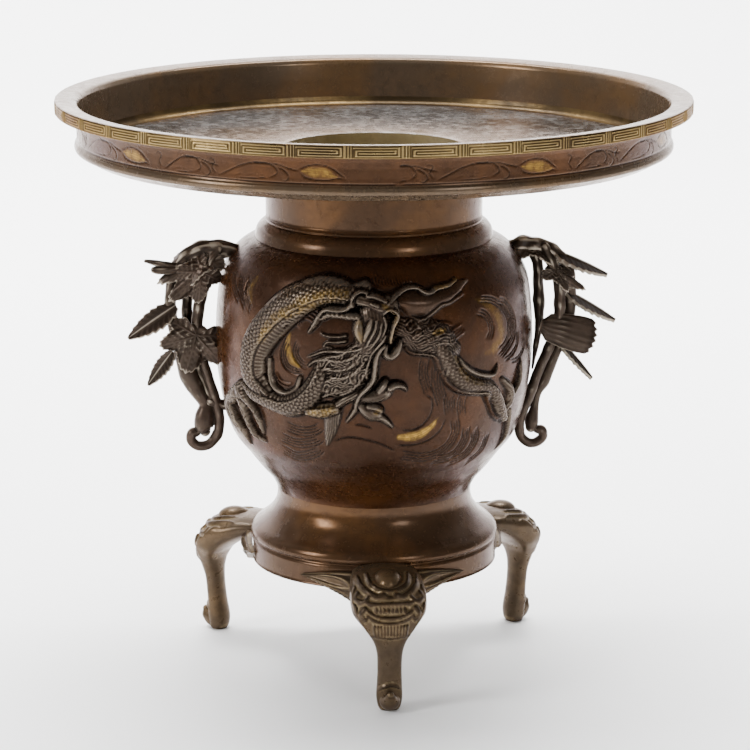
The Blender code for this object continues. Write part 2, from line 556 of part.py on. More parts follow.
def main():
    clear_scene()
    bronze = metal("bronze", BRONZE, 0.36)
    dark_bronze = metal("dark bronze", DARK_BRONZE, 0.5)
    outside = body_outside()
    make_body(outside, bronze)
    make_dish(bronze)
    cutter = turned("fit_cutter", clearance_outline(outside), BODY_SEGMENTS, bronze)
    for name, turn in zip(LEG_NAMES, range(LEG_COUNT)):
        make_leg(name, turn * 2 * math.pi / LEG_COUNT, cutter, dark_bronze)
    make_handle("handle_left", -1, LEFT_STEMS, LEFT_LEAVES, cutter, dark_bronze)
    make_handle("handle_right", 1, RIGHT_STEMS, RIGHT_LEAVES, cutter, dark_bronze)


main()
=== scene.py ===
"""Bronze ikebana vase: the detailed pieces, finishes and studio around its CAD frame.

Every length in the tables is in millimetres unless a name says otherwise. The dragon is drawn on the
unrolled belly: along is to the right of the front, up is from the belly's base.
"""

import math

import bmesh
import bpy
import numpy as np
from mathutils import Matrix, Vector


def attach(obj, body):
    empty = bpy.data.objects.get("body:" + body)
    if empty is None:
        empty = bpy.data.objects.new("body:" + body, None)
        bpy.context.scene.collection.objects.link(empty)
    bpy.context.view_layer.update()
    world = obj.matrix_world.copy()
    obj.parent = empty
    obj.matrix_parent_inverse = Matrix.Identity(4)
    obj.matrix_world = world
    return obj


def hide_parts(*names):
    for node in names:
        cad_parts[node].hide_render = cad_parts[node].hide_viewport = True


bl_info = {
    "name": "Bronze Ikebana Vase",
    "version": (1, 0, 0),
    "blender": (4, 5, 0),
    "location": "View3D > Sidebar > Vase",
    "description": "Builds the detailed bronze vase round its frame, with its finishes and studio",
    "category": "Add Mesh",
}

MM = 0.001

BELLY_BASE = 93.0  # how high the belly's lower edge, and the drawing's, lies over the floor
BELLY_RADIUS = 80.8
BELLY_LEFT, BELLY_RIGHT = -107.0, 98.0  # how far round the front of the belly reaches
FINE_LEFT, FINE_RIGHT = -82.0, 12.0  # the finest columns, under the dragon's coils and head
RIM_RADIUS = 160.0
WALL_RADIUS = 149.2
FRET_LOW, FRET_HIGH = 286.9, 291.9
OVAL_SHIFT = 0.6425  # of a repeat: it puts the gilt ovals where the front view has them
BODY_COLUMNS = 192
DISH_COLUMNS = 288
SHELL, FLOOR, HOLE, FILLET = range(4)  # the finishes of the dish's shell, in the order of its materials

# The belly's outline (radius, height), its lower edge up to the edge of the collar
BELLY = ((49.9, 91.0), (50.6, 93.0), (53.6, 98.0), (58.9, 104.0), (65.05, 112.0), (71.4, 120.0),
         (75.6, 130.0), (78.3, 142.0), (80.3, 156.0), (80.8, 170.0), (80.1, 186.0), (78.4, 200.0),
         (75.5, 208.0), (72.2, 213.5), (68.6, 217.4), (64.6, 220.0), (60.6, 221.3))
FOOT = ((62.8, 52.6), (62.8, 64.2), (62.5, 64.8), (62.8, 65.3), (63.5, 66.0), (63.8, 67.2), (63.5, 68.6),
        (62.8, 69.9), (61.3, 71.4), (58.7, 73.3), (55.8, 75.8), (53.3, 78.5), (51.5, 81.3), (50.3, 84.2),
        (49.75, 87.6), (49.9, 91.0))
COLLAR = ((60.6, 221.3), (60.5, 222.0), (60.1, 224.2), (59.3, 226.4), (57.9, 228.2), (56.3, 229.4),
          (55.0, 230.0), (54.9, 231.2), (54.9, 246.5), (54.9, 263.7), (54.3, 263.7))
INSIDE = ((51.3, 263.7), (51.3, 226.9), (61.0, 216.0), (72.0, 204.0), (76.8, 186.0), (77.5, 168.0),
          (75.0, 142.0), (68.0, 120.0), (55.5, 104.0), (46.6, 93.0), (46.6, 86.6), (52.3, 74.5),
          (56.6, 64.6), (56.6, 58.0), (0.0, 58.0))
UNDERSIDE = ((0.0, 55.0), (56.4, 55.0), (56.8, 54.6), (56.8, 52.6), (62.8, 52.6))

# The dragon's forms: along, up, half width, height over the wall
COIL = ((-11.4, 116.6, 3.6, 5.0), (-18.1, 113.8, 5.1, 6.0), (-25.6, 114.9, 6.1, 7.0),
        (-34.2, 114.4, 7.1, 7.4), (-43.1, 110.5, 8.2, 7.6), (-51.6, 105.0, 9.2, 7.6),
        (-60.4, 96.4, 9.2, 7.6), (-67.4, 86.8, 8.7, 7.6), (-70.6, 77.3, 8.0, 7.2),
        (-70.2, 68.2, 7.2, 6.2), (-64.5, 62.0, 4.8, 4.0))
LOWER_COIL = ((-79.8, 62.8, 2.0, 2.0), (-71.3, 59.2, 4.1, 4.4), (-61.0, 57.4, 4.9, 5.6),
              (-51.0, 56.3, 5.8, 6.2), (-42.5, 59.4, 6.1, 6.2), (-36.6, 65.7, 5.6, 5.6),
              (-33.5, 72.5, 4.6, 4.4), (-32.9, 78.6, 2.5, 2.0))
LOOP_RIM = ((-61.2, 78.1, 1.3, 2.0), (-60.8, 70.1, 1.5, 2.6), (-58.0, 64.4, 1.6, 3.0),
            (-51.6, 62.0, 1.6, 3.0), (-45.9, 65.0, 1.5, 2.6), (-43.7, 70.8, 1.2, 1.8))
SHOULDER = ((6.8, 96.8, 5.6, 3.6), (12.5, 94.6, 8.6, 4.4), (19.4, 92.2, 9.4, 4.4), (26.5, 89.6, 8.4, 4.0),
            (31.7, 85.2, 6.0, 3.4))
HIND_BODY = ((25.4, 88.3, 4.6, 3.6), (29.5, 81.9, 5.1, 4.6), (32.7, 75.1, 5.6, 5.0), (38.4, 68.8, 5.4, 5.0),
             (46.8, 65.1, 4.8, 4.8), (54.7, 62.8, 4.3, 4.4), (60.6, 57.5, 4.3, 4.2), (66.0, 50.2, 4.1, 3.6),
             (71.7, 43.7, 2.6, 2.6))
HIND_FOOT = ((66.5, 64.7, 1.4, 2.0), (72.7, 59.3, 2.6, 3.4), (74.4, 52.6, 3.0, 3.6), (71.0, 48.1, 2.5, 3.0))
CLOUD = ((2.3, 109.8, 3.0, 2.6), (8.3, 110.6, 5.6, 3.4), (14.1, 109.3, 7.6, 3.6), (20.2, 108.5, 7.2, 3.2),
         (26.4, 110.5, 5.6, 2.6), (33.2, 112.4, 4.0, 2.0), (39.6, 114.6, 2.4, 1.4), (46.0, 116.7, 0.9, 0.6))
FIN = ((-25.0, 58.4, 3.1, 2.2), (-27.2, 53.0, 4.1, 2.4), (-28.6, 46.6, 3.3, 1.8), (-30.0, 41.7, 2.3, 1.2),
       (-31.5, 36.7, 0.5, 0.6))
GOLD_PATCH = ((-38.4, 54.8, 3.1, 4.0), (-32.2, 55.3, 4.0, 4.6), (-26.6, 56.7, 3.4, 4.0))
HEAD_FORMS = (
    ((-6.5, 105.0, 8.0, 9.0), (-5.5, 98.0, 8.6, 8.6), (-9.0, 90.0, 7.0, 7.4)),
    ((-13.5, 112.0, 3.6, 8.6), (-8.5, 111.5, 4.4, 9.6), (-3.0, 109.0, 4.6, 10.4), (1.0, 109.6, 3.9, 11.0),
     (3.0, 107.0, 2.6, 10.2)),
    ((-13.2, 102.4, 2.2, 8.6), (-13.2, 99.0, 3.4, 9.8), (-12.7, 94.7, 3.2, 9.2), (-12.3, 91.8, 1.6, 7.6)),
    ((-7.8, 103.1, 1.5, 10.2), (-8.7, 99.8, 2.2, 11.0), (-10.0, 95.9, 1.9, 10.2),
     (-10.9, 92.6, 1.0, 8.6)),
    ((-5.4, 102.4, 1.0, 10.0), (-6.3, 98.1, 1.2, 10.2), (-8.5, 93.3, 1.1, 9.4), (-10.0, 89.8, 0.8, 8.0)),
    ((-3.2, 101.0, 1.0, 9.6), (-4.1, 96.2, 1.2, 9.8), (-6.3, 91.8, 1.1, 9.0), (-8.7, 88.4, 0.8, 7.6)),
    ((-1.4, 95.2, 0.9, 9.0), (-3.2, 91.8, 1.1, 9.0), (-5.9, 88.4, 1.0, 8.4), (-7.8, 85.5, 0.8, 7.0)),
    ((-2.2, 104.4, 0.9, 9.6), (-1.2, 100.7, 1.2, 9.2), (-2.1, 96.9, 1.2, 8.8), (-3.5, 93.0, 1.0, 8.4)),
    ((-1.1, 89.4, 1.2, 7.6), (-1.5, 85.9, 1.9, 8.0), (0.8, 84.4, 2.2, 8.0), (3.4, 86.4, 2.3, 7.8),
     (5.0, 89.2, 1.7, 7.4), (5.6, 92.1, 0.9, 7.0)),
    ((-2.4, 105.8, 0.8, 11.0), (-0.5, 107.9, 1.0, 12.4), (1.9, 108.0, 1.1, 13.2), (3.9, 106.0, 1.1, 13.2),
     (3.5, 103.1, 1.1, 12.8), (2.0, 99.8, 1.1, 12.0), (1.1, 95.5, 1.1, 11.0), (0.7, 91.5, 0.9, 9.6)),
    ((-9.8, 114.2, 1.0, 11.2), (-6.5, 114.0, 1.2, 11.8), (-3.7, 112.9, 1.1, 12.0),
     (-1.2, 111.9, 1.0, 12.0)),
    ((-7.9, 110.9, 1.2, 11.6), (-4.9, 109.9, 1.5, 12.2)),
    ((-16.1, 108.8, 0.9, 9.4), (-16.9, 111.7, 1.0, 10.4), (-15.6, 114.5, 1.1, 10.8),
     (-12.8, 116.1, 1.1, 10.6), (-9.9, 115.5, 0.9, 10.4)),
)
MANE = (
    ((-12.0, 88.2, 1.5, 7.0), (-16.6, 83.6, 1.9, 6.2), (-23.1, 81.4, 2.0, 5.0), (-29.2, 81.6, 1.6, 3.8),
     (-35.0, 80.6, 1.2, 2.6), (-39.5, 77.2, 0.5, 1.2)),
    ((-12.5, 85.2, 1.5, 6.6), (-16.6, 79.7, 2.1, 6.2), (-23.1, 77.0, 2.2, 5.2), (-29.7, 77.1, 1.7, 4.0),
     (-35.1, 74.6, 1.1, 2.6), (-38.1, 71.3, 0.5, 1.2)),
    ((-11.1, 81.8, 1.5, 6.6), (-14.7, 76.8, 2.4, 6.2), (-21.2, 73.0, 2.6, 5.4), (-26.9, 72.2, 2.0, 4.4),
     (-30.7, 69.4, 1.1, 3.6), (-32.7, 65.8, 0.6, 3.0)),
    ((-10.2, 76.6, 1.5, 6.0), (-13.9, 71.0, 2.5, 5.6), (-20.0, 66.8, 2.6, 5.0), (-26.3, 65.5, 2.2, 4.6),
     (-31.1, 63.1, 1.1, 4.6)),
    ((-14.3, 90.1, 1.0, 5.6), (-18.0, 87.5, 1.3, 5.0), (-22.2, 84.4, 1.3, 4.4), (-27.8, 83.1, 1.1, 3.6),
     (-33.5, 81.7, 0.7, 2.4)),
    ((-7.9, 84.8, 1.0, 7.4), (-9.2, 80.8, 1.2, 7.0), (-10.2, 76.9, 1.1, 6.4), (-9.9, 73.5, 1.3, 5.8)),
    ((-7.4, 91.1, 1.0, 8.8), (-14.8, 87.6, 1.3, 6.6), (-22.2, 86.1, 1.2, 4.2), (-30.7, 85.4, 1.0, 2.8),
     (-35.5, 83.5, 0.8, 2.0), (-40.0, 81.7, 0.5, 1.2)),
    ((-20.2, 93.4, 1.0, 1.8), (-25.0, 92.7, 0.8, 1.6), (-29.9, 92.9, 0.7, 1.4), (-33.4, 94.1, 0.5, 1.0)),
    ((-20.2, 90.9, 1.0, 2.0), (-25.0, 90.0, 0.9, 1.8), (-28.9, 90.0, 0.7, 1.6), (-31.3, 87.9, 0.7, 1.4),
     (-27.4, 87.1, 0.6, 1.2)),
)
MANE_MASS = (
    ((-9.0, 86.5, 5.0, 6.6), (-16.0, 82.0, 6.6, 5.2), (-24.0, 79.0, 6.0, 4.0), (-32.0, 78.0, 3.6, 2.4)),
    ((-11.0, 78.0, 4.6, 5.6), (-17.0, 72.6, 7.0, 5.2), (-24.0, 69.6, 7.0, 4.4), (-30.5, 66.8, 4.0, 3.8)),
)
FUR_LEG = ((-9.2, 68.6, 2.0, 4.8), (-15.4, 64.5, 2.3, 5.6), (-20.1, 62.3, 2.3, 5.8),
           (-23.9, 59.3, 1.9, 5.0))
COMB = ((-12.1, 74.6, 0.8, 5.2), (-14.4, 70.5, 1.2, 5.4), (-17.7, 66.9, 1.2, 5.4), (-22.0, 64.7, 0.8, 5.0))
HORNS = (
    ((-16.7, 111.0, 1.3, 9.0), (-18.5, 108.0, 1.5, 8.8), (-23.0, 106.6, 1.4, 8.4), (-29.2, 106.6, 1.2, 7.8),
     (-32.4, 103.7, 1.4, 6.6), (-35.6, 98.6, 1.3, 4.4), (-39.3, 94.0, 0.5, 2.4)),
    ((-13.7, 103.8, 1.9, 9.4), (-19.1, 104.1, 2.1, 8.6), (-24.2, 104.4, 2.0, 7.8), (-28.3, 104.2, 1.9, 7.0),
     (-31.6, 102.0, 1.4, 6.0)),
)
BARBEL = ((-2.0, 90.1, 1.2, 9.6), (-4.3, 87.2, 1.4, 9.6), (-5.8, 82.8, 1.5, 9.0), (-6.3, 77.4, 1.6, 8.2),
          (-7.0, 72.8, 1.6, 7.6), (-9.6, 68.8, 1.5, 7.2), (-12.8, 65.3, 1.5, 7.4), (-14.6, 61.1, 1.4, 6.0),
          (-15.6, 57.0, 1.3, 3.6), (-18.0, 53.2, 1.0, 2.2), (-20.4, 50.0, 0.5, 1.0))
WHISKER = ((-0.1, 110.8, 0.9, 12.0), (2.8, 112.8, 1.0, 9.6), (6.7, 115.2, 1.0, 7.0),
           (10.6, 116.6, 1.0, 5.8), (15.0, 116.4, 1.0, 5.4), (18.6, 114.2, 1.0, 5.2),
           (22.0, 113.7, 1.0, 4.8), (25.8, 115.3, 1.0, 4.4), (29.6, 115.6, 0.9, 3.8),
           (33.5, 116.2, 0.9, 3.2), (39.0, 118.0, 0.5, 2.0))
PAW = (
    ((-12.0, 63.3, 2.7, 5.0), (-7.9, 63.8, 3.3, 5.6), (-4.2, 64.8, 3.4, 6.0), (-1.4, 66.2, 3.4, 6.8)),
    ((-3.9, 67.0, 2.2, 6.8), (-2.0, 69.9, 2.1, 7.0), (-1.2, 71.4, 1.6, 6.2)),
    ((0.6, 68.4, 2.2, 6.8), (3.9, 69.6, 1.8, 5.8), (7.1, 68.8, 1.4, 4.4), (9.0, 66.6, 0.6, 2.8)),
    ((-13.0, 59.2, 2.4, 4.6), (-10.2, 56.6, 3.2, 5.4), (-7.2, 54.6, 3.4, 5.6), (-5.0, 54.4, 2.6, 5.2)),
    ((-9.2, 58.6, 2.0, 5.2), (-5.5, 58.0, 2.0, 5.4), (-3.4, 56.6, 1.5, 4.8)),
    ((-5.5, 53.7, 2.4, 5.0), (-2.2, 52.2, 1.7, 3.8), (0.8, 49.4, 1.1, 2.4), (2.6, 47.3, 0.5, 1.0)),
    ((-83.1, 60.8, 3.2, 3.2), (-92.8, 54.0, 3.8, 3.8), (-99.8, 47.5, 3.4, 3.8), (-98.6, 42.0, 3.1, 3.6),
     (-95.3, 35.4, 1.8, 2.2)),
    ((-96.7, 47.7, 2.6, 3.8), (-91.7, 41.6, 2.6, 4.4), (-87.6, 36.6, 2.4, 4.0), (-88.1, 29.6, 1.0, 1.6)),
    ((-85.0, 59.0, 4.0, 3.6), (-83.4, 53.0, 3.2, 4.0), (-81.6, 47.2, 2.2, 4.0), (-79.6, 41.3, 2.0, 3.6),
     (-76.6, 36.2, 2.1, 3.4), (-71.9, 34.2, 1.2, 1.8)),
    ((-84.0, 58.0, 3.4, 3.6), (-78.4, 54.2, 2.6, 3.8), (-74.0, 50.4, 1.9, 3.4), (-71.4, 44.4, 1.6, 3.0),
     (-70.8, 38.6, 0.9, 1.6)),
    ((75.0, 47.4, 1.6, 3.4), (77.5, 39.0, 1.4, 3.0), (79.8, 31.9, 1.1, 2.4), (78.1, 25.3, 0.4, 1.0)),
    ((76.0, 55.1, 1.3, 3.2), (81.6, 60.4, 1.2, 3.0), (83.4, 66.3, 1.0, 2.4), (84.9, 72.0, 0.4, 1.0)),
    ((35.9, 80.6, 0.8, 3.2), (38.9, 76.0, 1.6, 4.6), (44.9, 71.9, 1.6, 4.6), (52.7, 69.4, 1.4, 4.0),
     (58.6, 69.2, 0.8, 3.0), (62.0, 73.0, 0.4, 1.6)),
)
# Raised or sunk lines: a path (along, up), half width, height (below 0 cuts in)
LINES = (
    (((7.7, 88.0), (12.0, 84.8), (18.3, 83.9), (23.3, 82.0), (25.9, 75.8), (29.7, 68.9), (35.2, 64.2),
      (42.2, 61.7), (51.7, 60.7), (55.9, 55.3), (60.9, 48.0), (68.4, 42.8)), 1.1, 2.2),
    (((10.6, 103.1), (15.4, 101.4), (19.9, 102.1), (23.5, 104.7), (27.4, 107.3), (32.3, 107.8),
      (38.5, 110.4), (42.3, 111.4)), 0.9, 1.8),
    (((-57.5, 72.5), (-55.8, 68.6), (-51.7, 66.8), (-47.6, 67.3)), 0.9, 0.8),
    (((5.2, 116.0), (10.6, 117.9), (15.2, 117.6), (19.0, 115.4), (22.4, 115.0), (26.2, 116.6)), 0.5,
     -0.5),
)
STRANDS = (
    (((11.5, 89.2), (17.4, 93.3), (23.5, 95.3), (29.2, 95.3), (32.9, 93.4)), 5, 1.5, 0.8),
    (((12.5, 86.7), (19.4, 89.7), (25.5, 91.7), (31.8, 91.1), (36.2, 93.1), (40.3, 95.1)), 4, 1.4, 0.8),
    (((9.6, 92.8), (12.6, 97.5), (17.6, 100.1), (21.7, 99.8)), 3, 1.4, 0.7),
    (((-3.0, 86.5), (-7.0, 80.0), (-8.4, 74.0)), 3, 1.3, 0.5),
    (((-47.0, 100.8), (-42.5, 103.8), (-37.0, 102.6), (-33.0, 98.6)), 4, 1.9, 1.1),
    (((-53.0, 97.0), (-49.0, 100.0), (-45.0, 98.6), (-43.0, 96.0)), 3, 1.6, 0.9),
)
# Engraved waves and hair: a path, how many beside it, their spacing and depth
ENGRAVED = (
    (((7.1, 45.5), (13.1, 45.2), (18.8, 48.0), (22.7, 53.4), (22.8, 60.2), (19.0, 63.6)), 1, 1.0, 0.34),
    (((4.5, 37.5), (13.7, 37.1), (22.3, 39.1), (28.6, 43.8), (31.3, 49.9)), 1, 1.0, 0.3),
    (((7.6, 31.8), (22.1, 29.6), (33.3, 33.5), (37.9, 41.6), (36.0, 49.4)), 4, 1.5, 0.34),
    (((25.6, 27.0), (39.1, 28.8), (44.7, 36.3), (44.5, 43.9)), 4, 1.5, 0.34),
    (((36.6, 24.3), (47.9, 27.5), (52.3, 35.1), (49.6, 42.0)), 4, 1.5, 0.34),
    (((52.1, 20.7), (60.5, 27.8), (61.3, 37.8)), 3, 1.6, 0.3),
    (((50.9, 107.4), (60.8, 105.5), (69.1, 100.2), (73.6, 92.4), (71.1, 83.8), (63.2, 79.2)), 3, 1.4, 0.3),
    (((64.7, 104.9), (71.4, 102.3), (77.8, 93.7), (77.2, 85.2), (69.1, 79.1), (63.3, 76.6)), 3, 1.5, 0.3),
    (((81.6, 88.1), (81.1, 80.6), (74.9, 76.0), (67.6, 74.3)), 2, 1.6, 0.34),
    (((91.9, 84.6), (89.3, 76.6), (81.7, 72.6), (73.2, 72.9)), 2, 1.6, 0.34),
    (((48.8, 101.8), (54.7, 99.5), (57.8, 95.1), (58.3, 90.0), (55.2, 86.0)), 3, 1.5, 0.26),
    (((-101.7, 116.7), (-96.5, 109.2), (-87.0, 102.4)), 3, 1.7, 0.34),
    (((-91.8, 116.4), (-89.3, 109.0), (-81.1, 100.5)), 3, 1.7, 0.34),
    (((-82.0, 115.9), (-82.9, 108.1), (-76.6, 99.2)), 3, 1.5, 0.34),
    (((-50.6, 90.8), (-53.8, 82.6), (-52.0, 76.3), (-46.8, 73.9), (-41.8, 74.4)), 3, 1.3, 0.34),
    (((-44.7, 89.6), (-46.8, 83.4), (-43.9, 78.7), (-39.6, 77.1)), 3, 1.3, 0.3),
    (((-55.3, 44.8), (-46.4, 42.8), (-37.6, 44.3), (-33.4, 47.3)), 4, 1.5, 0.26),
    (((-59.9, 38.2), (-49.4, 35.9), (-38.2, 38.3), (-34.0, 41.4)), 4, 1.5, 0.26),
    (((-60.8, 31.4), (-50.8, 28.4), (-39.4, 31.5), (-34.7, 35.3)), 4, 1.5, 0.26),
    (((-28.1, 39.1), (-18.9, 41.8), (-6.0, 39.3), (4.7, 34.2)), 1, 1.0, 0.3),
    (((-17.7, 48.3), (-12.6, 48.4), (-6.5, 46.3)), 1, 1.0, 0.26),
    (((19.0, 82.4), (18.0, 73.5), (21.2, 63.2)), 4, 1.4, 0.3),
    (((25.2, 77.9), (25.4, 67.8), (28.9, 56.8)), 5, 1.4, 0.3),
    (((33.7, 62.8), (32.4, 58.3), (33.8, 51.1)), 5, 1.4, 0.3),
    (((40.7, 61.5), (39.5, 56.4), (41.0, 49.1)), 4, 1.5, 0.3),
)
# Short slanted strokes in a row: where the row starts and ends, how many, and each stroke's reach
COMBED = (
    ((-8.7, 122.0), (14.0, 121.6), 15, (5.0, -6.4)),
    ((-9.4, 118.0), (-6.4, 124.0), 4, (7.0, -5.0)),
)
# Gilding: a path (along, up, half width) and its strength
GILT = (
    (((-20.0, 114.5, 3.0), (-30.0, 113.0, 5.0), (-39.0, 109.5, 5.5), (-48.0, 103.0, 3.0)), 0.36),
    (((-45.0, 107.0, 2.0), (-52.0, 102.0, 3.4), (-58.0, 95.0, 3.0), (-62.0, 88.0, 2.0)), 0.3),
    (((-38.4, 54.8, 2.6), (-32.2, 55.2, 4.0), (-26.6, 56.7, 3.0)), 0.4),
    (((-77.1, 115.6, 1.6), (-80.0, 110.1, 3.0), (-77.5, 104.0, 1.6)), 0.2),
    (((-49.7, 93.1, 0.8), (-51.4, 87.4, 2.0), (-49.6, 80.6, 3.0), (-45.0, 76.5, 1.4)), 0.5),
    (((-13.2, 101.4, 2.4), (-12.7, 93.7, 3.0)), 0.2),
    (((6.5, 41.7, 1.8), (12.3, 41.6, 2.9), (17.6, 42.8, 2.8), (22.8, 45.9, 1.9), (26.6, 50.6, 0.6)), 0.85),
    (((49.0, 107.4, 1.0), (56.1, 104.6, 3.0), (62.4, 99.6, 3.4), (65.4, 92.9, 3.6), (65.4, 86.6, 4.0),
      (59.7, 81.4, 3.4), (54.0, 80.0, 1.4)), 0.19),
    (((22.1, 94.7, 1.4), (25.6, 95.3, 1.6), (28.2, 95.6, 1.0)), 0.6),
    (((25.0, 115.3, 0.8), (33.5, 116.4, 1.2), (40.0, 118.2, 0.8)), 0.5),
    (((33.2, 81.5, 2.0), (36.0, 75.2, 2.6), (40.7, 70.0, 2.6), (48.0, 66.9, 1.4)), 0.28),
    (((-4.0, 57.0, 1.6), (-6.0, 55.6, 1.4)), 0.5),
    (((-2.0, 110.0, 1.6), (3.0, 104.0, 1.4), (0.6, 92.0, 1.0)), 0.3),
)

# The front leg's core: out from the axis, up, half width and half depth
LEG_CORE = ((57.5, 61.6, 15.5, 4.6), (66.0, 61.2, 16.8, 5.8), (74.0, 59.8, 18.0, 7.0),
            (84.9, 55.6, 18.9, 8.5), (91.6, 49.4, 17.8, 8.0), (94.4, 42.4, 12.4, 7.0),
            (94.6, 36.2, 8.2, 5.8), (93.9, 30.0, 6.4, 4.8), (93.2, 22.1, 6.0, 4.6),
            (92.4, 14.2, 6.2, 4.9), (91.6, 7.0, 6.5, 5.4), (91.5, 2.4, 5.8, 5.0), (91.5, 0.0, 4.6, 3.8))
# The nose: its middle across, out and up, and its half sizes. A nostril: its place, reach and depth.
LEG_NOSE = ((0.0, 80.8, 62.4), (7.2, 10.2, 6.2))
NOSTRIL, NOSTRIL_REACH, NOSTRIL_DEPTH = (3.0, 88.2, 60.4), (1.1, 1.8, 1.3), 1.3
LEG_SPUR = ((91.6, 5.4, 5.2), (95.4, 5.6, 5.1), (98.2, 7.0, 3.7), (99.6, 9.6, 1.8))
# The mask's relief as the front view shows it: across, then up in that view, half width and height. Paths
# with only their right half are mirrored.
LEG_VIEW = 18.1
MASK_WHOLE = (
    ((-14.8, 37.0, 0.9, 1.0), (-13.4, 31.6, 1.5, 1.6), (-7.5, 26.6, 1.7, 1.8), (0.0, 25.2, 1.8, 1.9),
     (7.5, 26.6, 1.7, 1.8), (13.4, 31.6, 1.5, 1.6), (14.8, 37.0, 0.9, 1.0)),
    ((-17.4, 25.6, 0.9, 1.2), (-9.0, 22.6, 1.2, 2.0), (0.0, 22.4, 1.3, 2.4), (9.0, 22.6, 1.2, 2.0),
     (17.4, 25.6, 0.9, 1.2)),
    ((-13.6, 21.0, 0.9, 1.2), (-7.0, 16.8, 1.0, 1.6), (0.0, 15.6, 1.0, 1.8), (7.0, 16.8, 1.0, 1.6),
     (13.6, 21.0, 0.9, 1.2)),
    ((-13.0, 18.6, 0.8, 1.0), (-7.0, 14.4, 0.9, 1.5), (0.0, 13.2, 0.9, 1.6), (7.0, 14.4, 0.9, 1.5),
     (13.0, 18.6, 0.8, 1.0)),
    ((-6.4, -19.2, 0.8, 0.6), (-3.0, -17.4, 0.9, 1.2), (1.6, -16.8, 0.9, 1.2), (5.6, -18.6, 0.8, 0.6)),
    ((-10.2, 38.0, 1.0, 1.2), (-9.0, 32.6, 1.3, 1.7), (-4.6, 29.6, 1.4, 1.8), (0.0, 28.8, 1.4, 1.8),
     (4.6, 29.6, 1.4, 1.8), (9.0, 32.6, 1.3, 1.7), (10.2, 38.0, 1.0, 1.2)),
    ((-9.6, 7.4, 0.6, 0.8), (0.0, 6.2, 0.7, 1.0), (9.6, 7.4, 0.6, 0.8)),
)
MASK_HALF = (
    ((3.2, 26.4, 2.0, 2.6), (6.0, 26.0, 1.6, 2.0)),
    ((9.4, 27.4, 1.2, 1.4), (12.0, 24.4, 1.2, 2.0), (14.6, 23.6, 1.2, 1.6), (16.8, 26.0, 1.0, 1.2),
     (15.4, 28.6, 0.9, 1.0)),
    ((12.6, 20.4, 1.6, 2.2), (14.4, 17.6, 1.5, 2.2), (12.6, 15.4, 1.2, 1.6), (10.8, 17.2, 0.8, 1.2)),
    ((17.6, 22.0, 1.4, 1.6), (16.6, 17.0, 1.4, 1.8), (13.4, 11.4, 1.3, 1.6), (10.6, 5.6, 1.0, 1.0)),
    ((16.8, 31.6, 1.0, 1.0), (18.6, 27.0, 1.2, 1.4), (18.6, 22.6, 1.0, 1.0)),
)
TEETH = 8
FLUTES = 11
# A wing: turn round the foot ring in degrees, lower and upper edge, how far it stands out; then the radius
# of its plain surface, and of its edges, which lie against the foot ring's wall
WING = ((5.0, 43.0, 61.6, 9.0), (10.0, 45.0, 61.8, 8.0), (15.0, 48.0, 61.8, 6.2), (20.0, 50.8, 61.5, 4.6),
        (26.0, 53.4, 60.7, 3.2), (32.0, 55.6, 59.6, 2.2), (37.0, 57.0, 58.5, 1.4), (39.6, 57.5, 57.8, 0.8))
WING_RADIUS, WING_EDGE_RADIUS = 63.9, 63.0

# The handles' stems: out past the belly's widest, towards the front, up from its base, then the radius
STEM_RADIUS = 2.9
LEFT_STEMS = (
    ((-14, 1, 120, 1.1), (-5, 1, 122, 1.4), (4, 0, 122.4, 1.5), (12, 0, 119.6, 1.4),
     (18.2, 0, 114.4, 1.2), (21.7, 0, 106, 1), (22.8, 0, 96, 0.95), (22, 0, 86, 1), (19.6, 0, 75, 1.05),
     (16.2, 1, 65, 1.5), (13.4, 1, 57, 1.85), (9.4, 1, 49, 1.5), (5.6, 1, 42, 1.25), (6.2, 1, 35, 1.75),
     (6.6, 1, 30.0, 1.6), (6.0, 1, 27.6, 1.0)),
    ((12, 0, 70, 1.0), (8.8, 0, 60, 1.3), (5.6, 0, 50, 1.2), (3.0, 0, 40, 1.1), (1.0, 0, 33, 0.9)),
    ((-2, 3, 122, 0.9), (2.3, 4, 116, 1), (6, 4, 104, 1), (8.7, 4, 91, 1), (9.6, 4, 80, 1),
     (7, 4, 67, 0.85), (4.1, 4, 57, 0.82), (0.8, 4, 46, 0.82), (-1, 3, 38, 0.88), (-1.2, 2, 30, 0.9),
     (0.6, 0, 24.2, 0.9), (4.6, 0, 20.2, 0.88), (9.6, 0, 19.6, 0.88), (13, 0, 22.4, 0.9),
     (12.8, 0, 26, 0.94), (10.4, 0, 27, 0.8)),
    ((14, -2, 120, 0.8), (15.6, -6, 109, 0.9), (14.3, -6, 96, 0.9), (14.4, -5, 83, 0.9),
     (13, -2, 72, 0.8), (14, 0, 63, 0.6)),
    ((3, 4, 44, 0.8), (-3, 3, 42, 0.9), (-10, 2, 41, 0.9)),
    ((20, 3, 114, 0.7), (27, 4, 115.6, 0.5), (35, 4, 117.2, 0.3)),
    ((20, 3, 113, 0.9), (26, 4, 112.4, 0.8), (31, 4, 112.6, 0.5)),
)
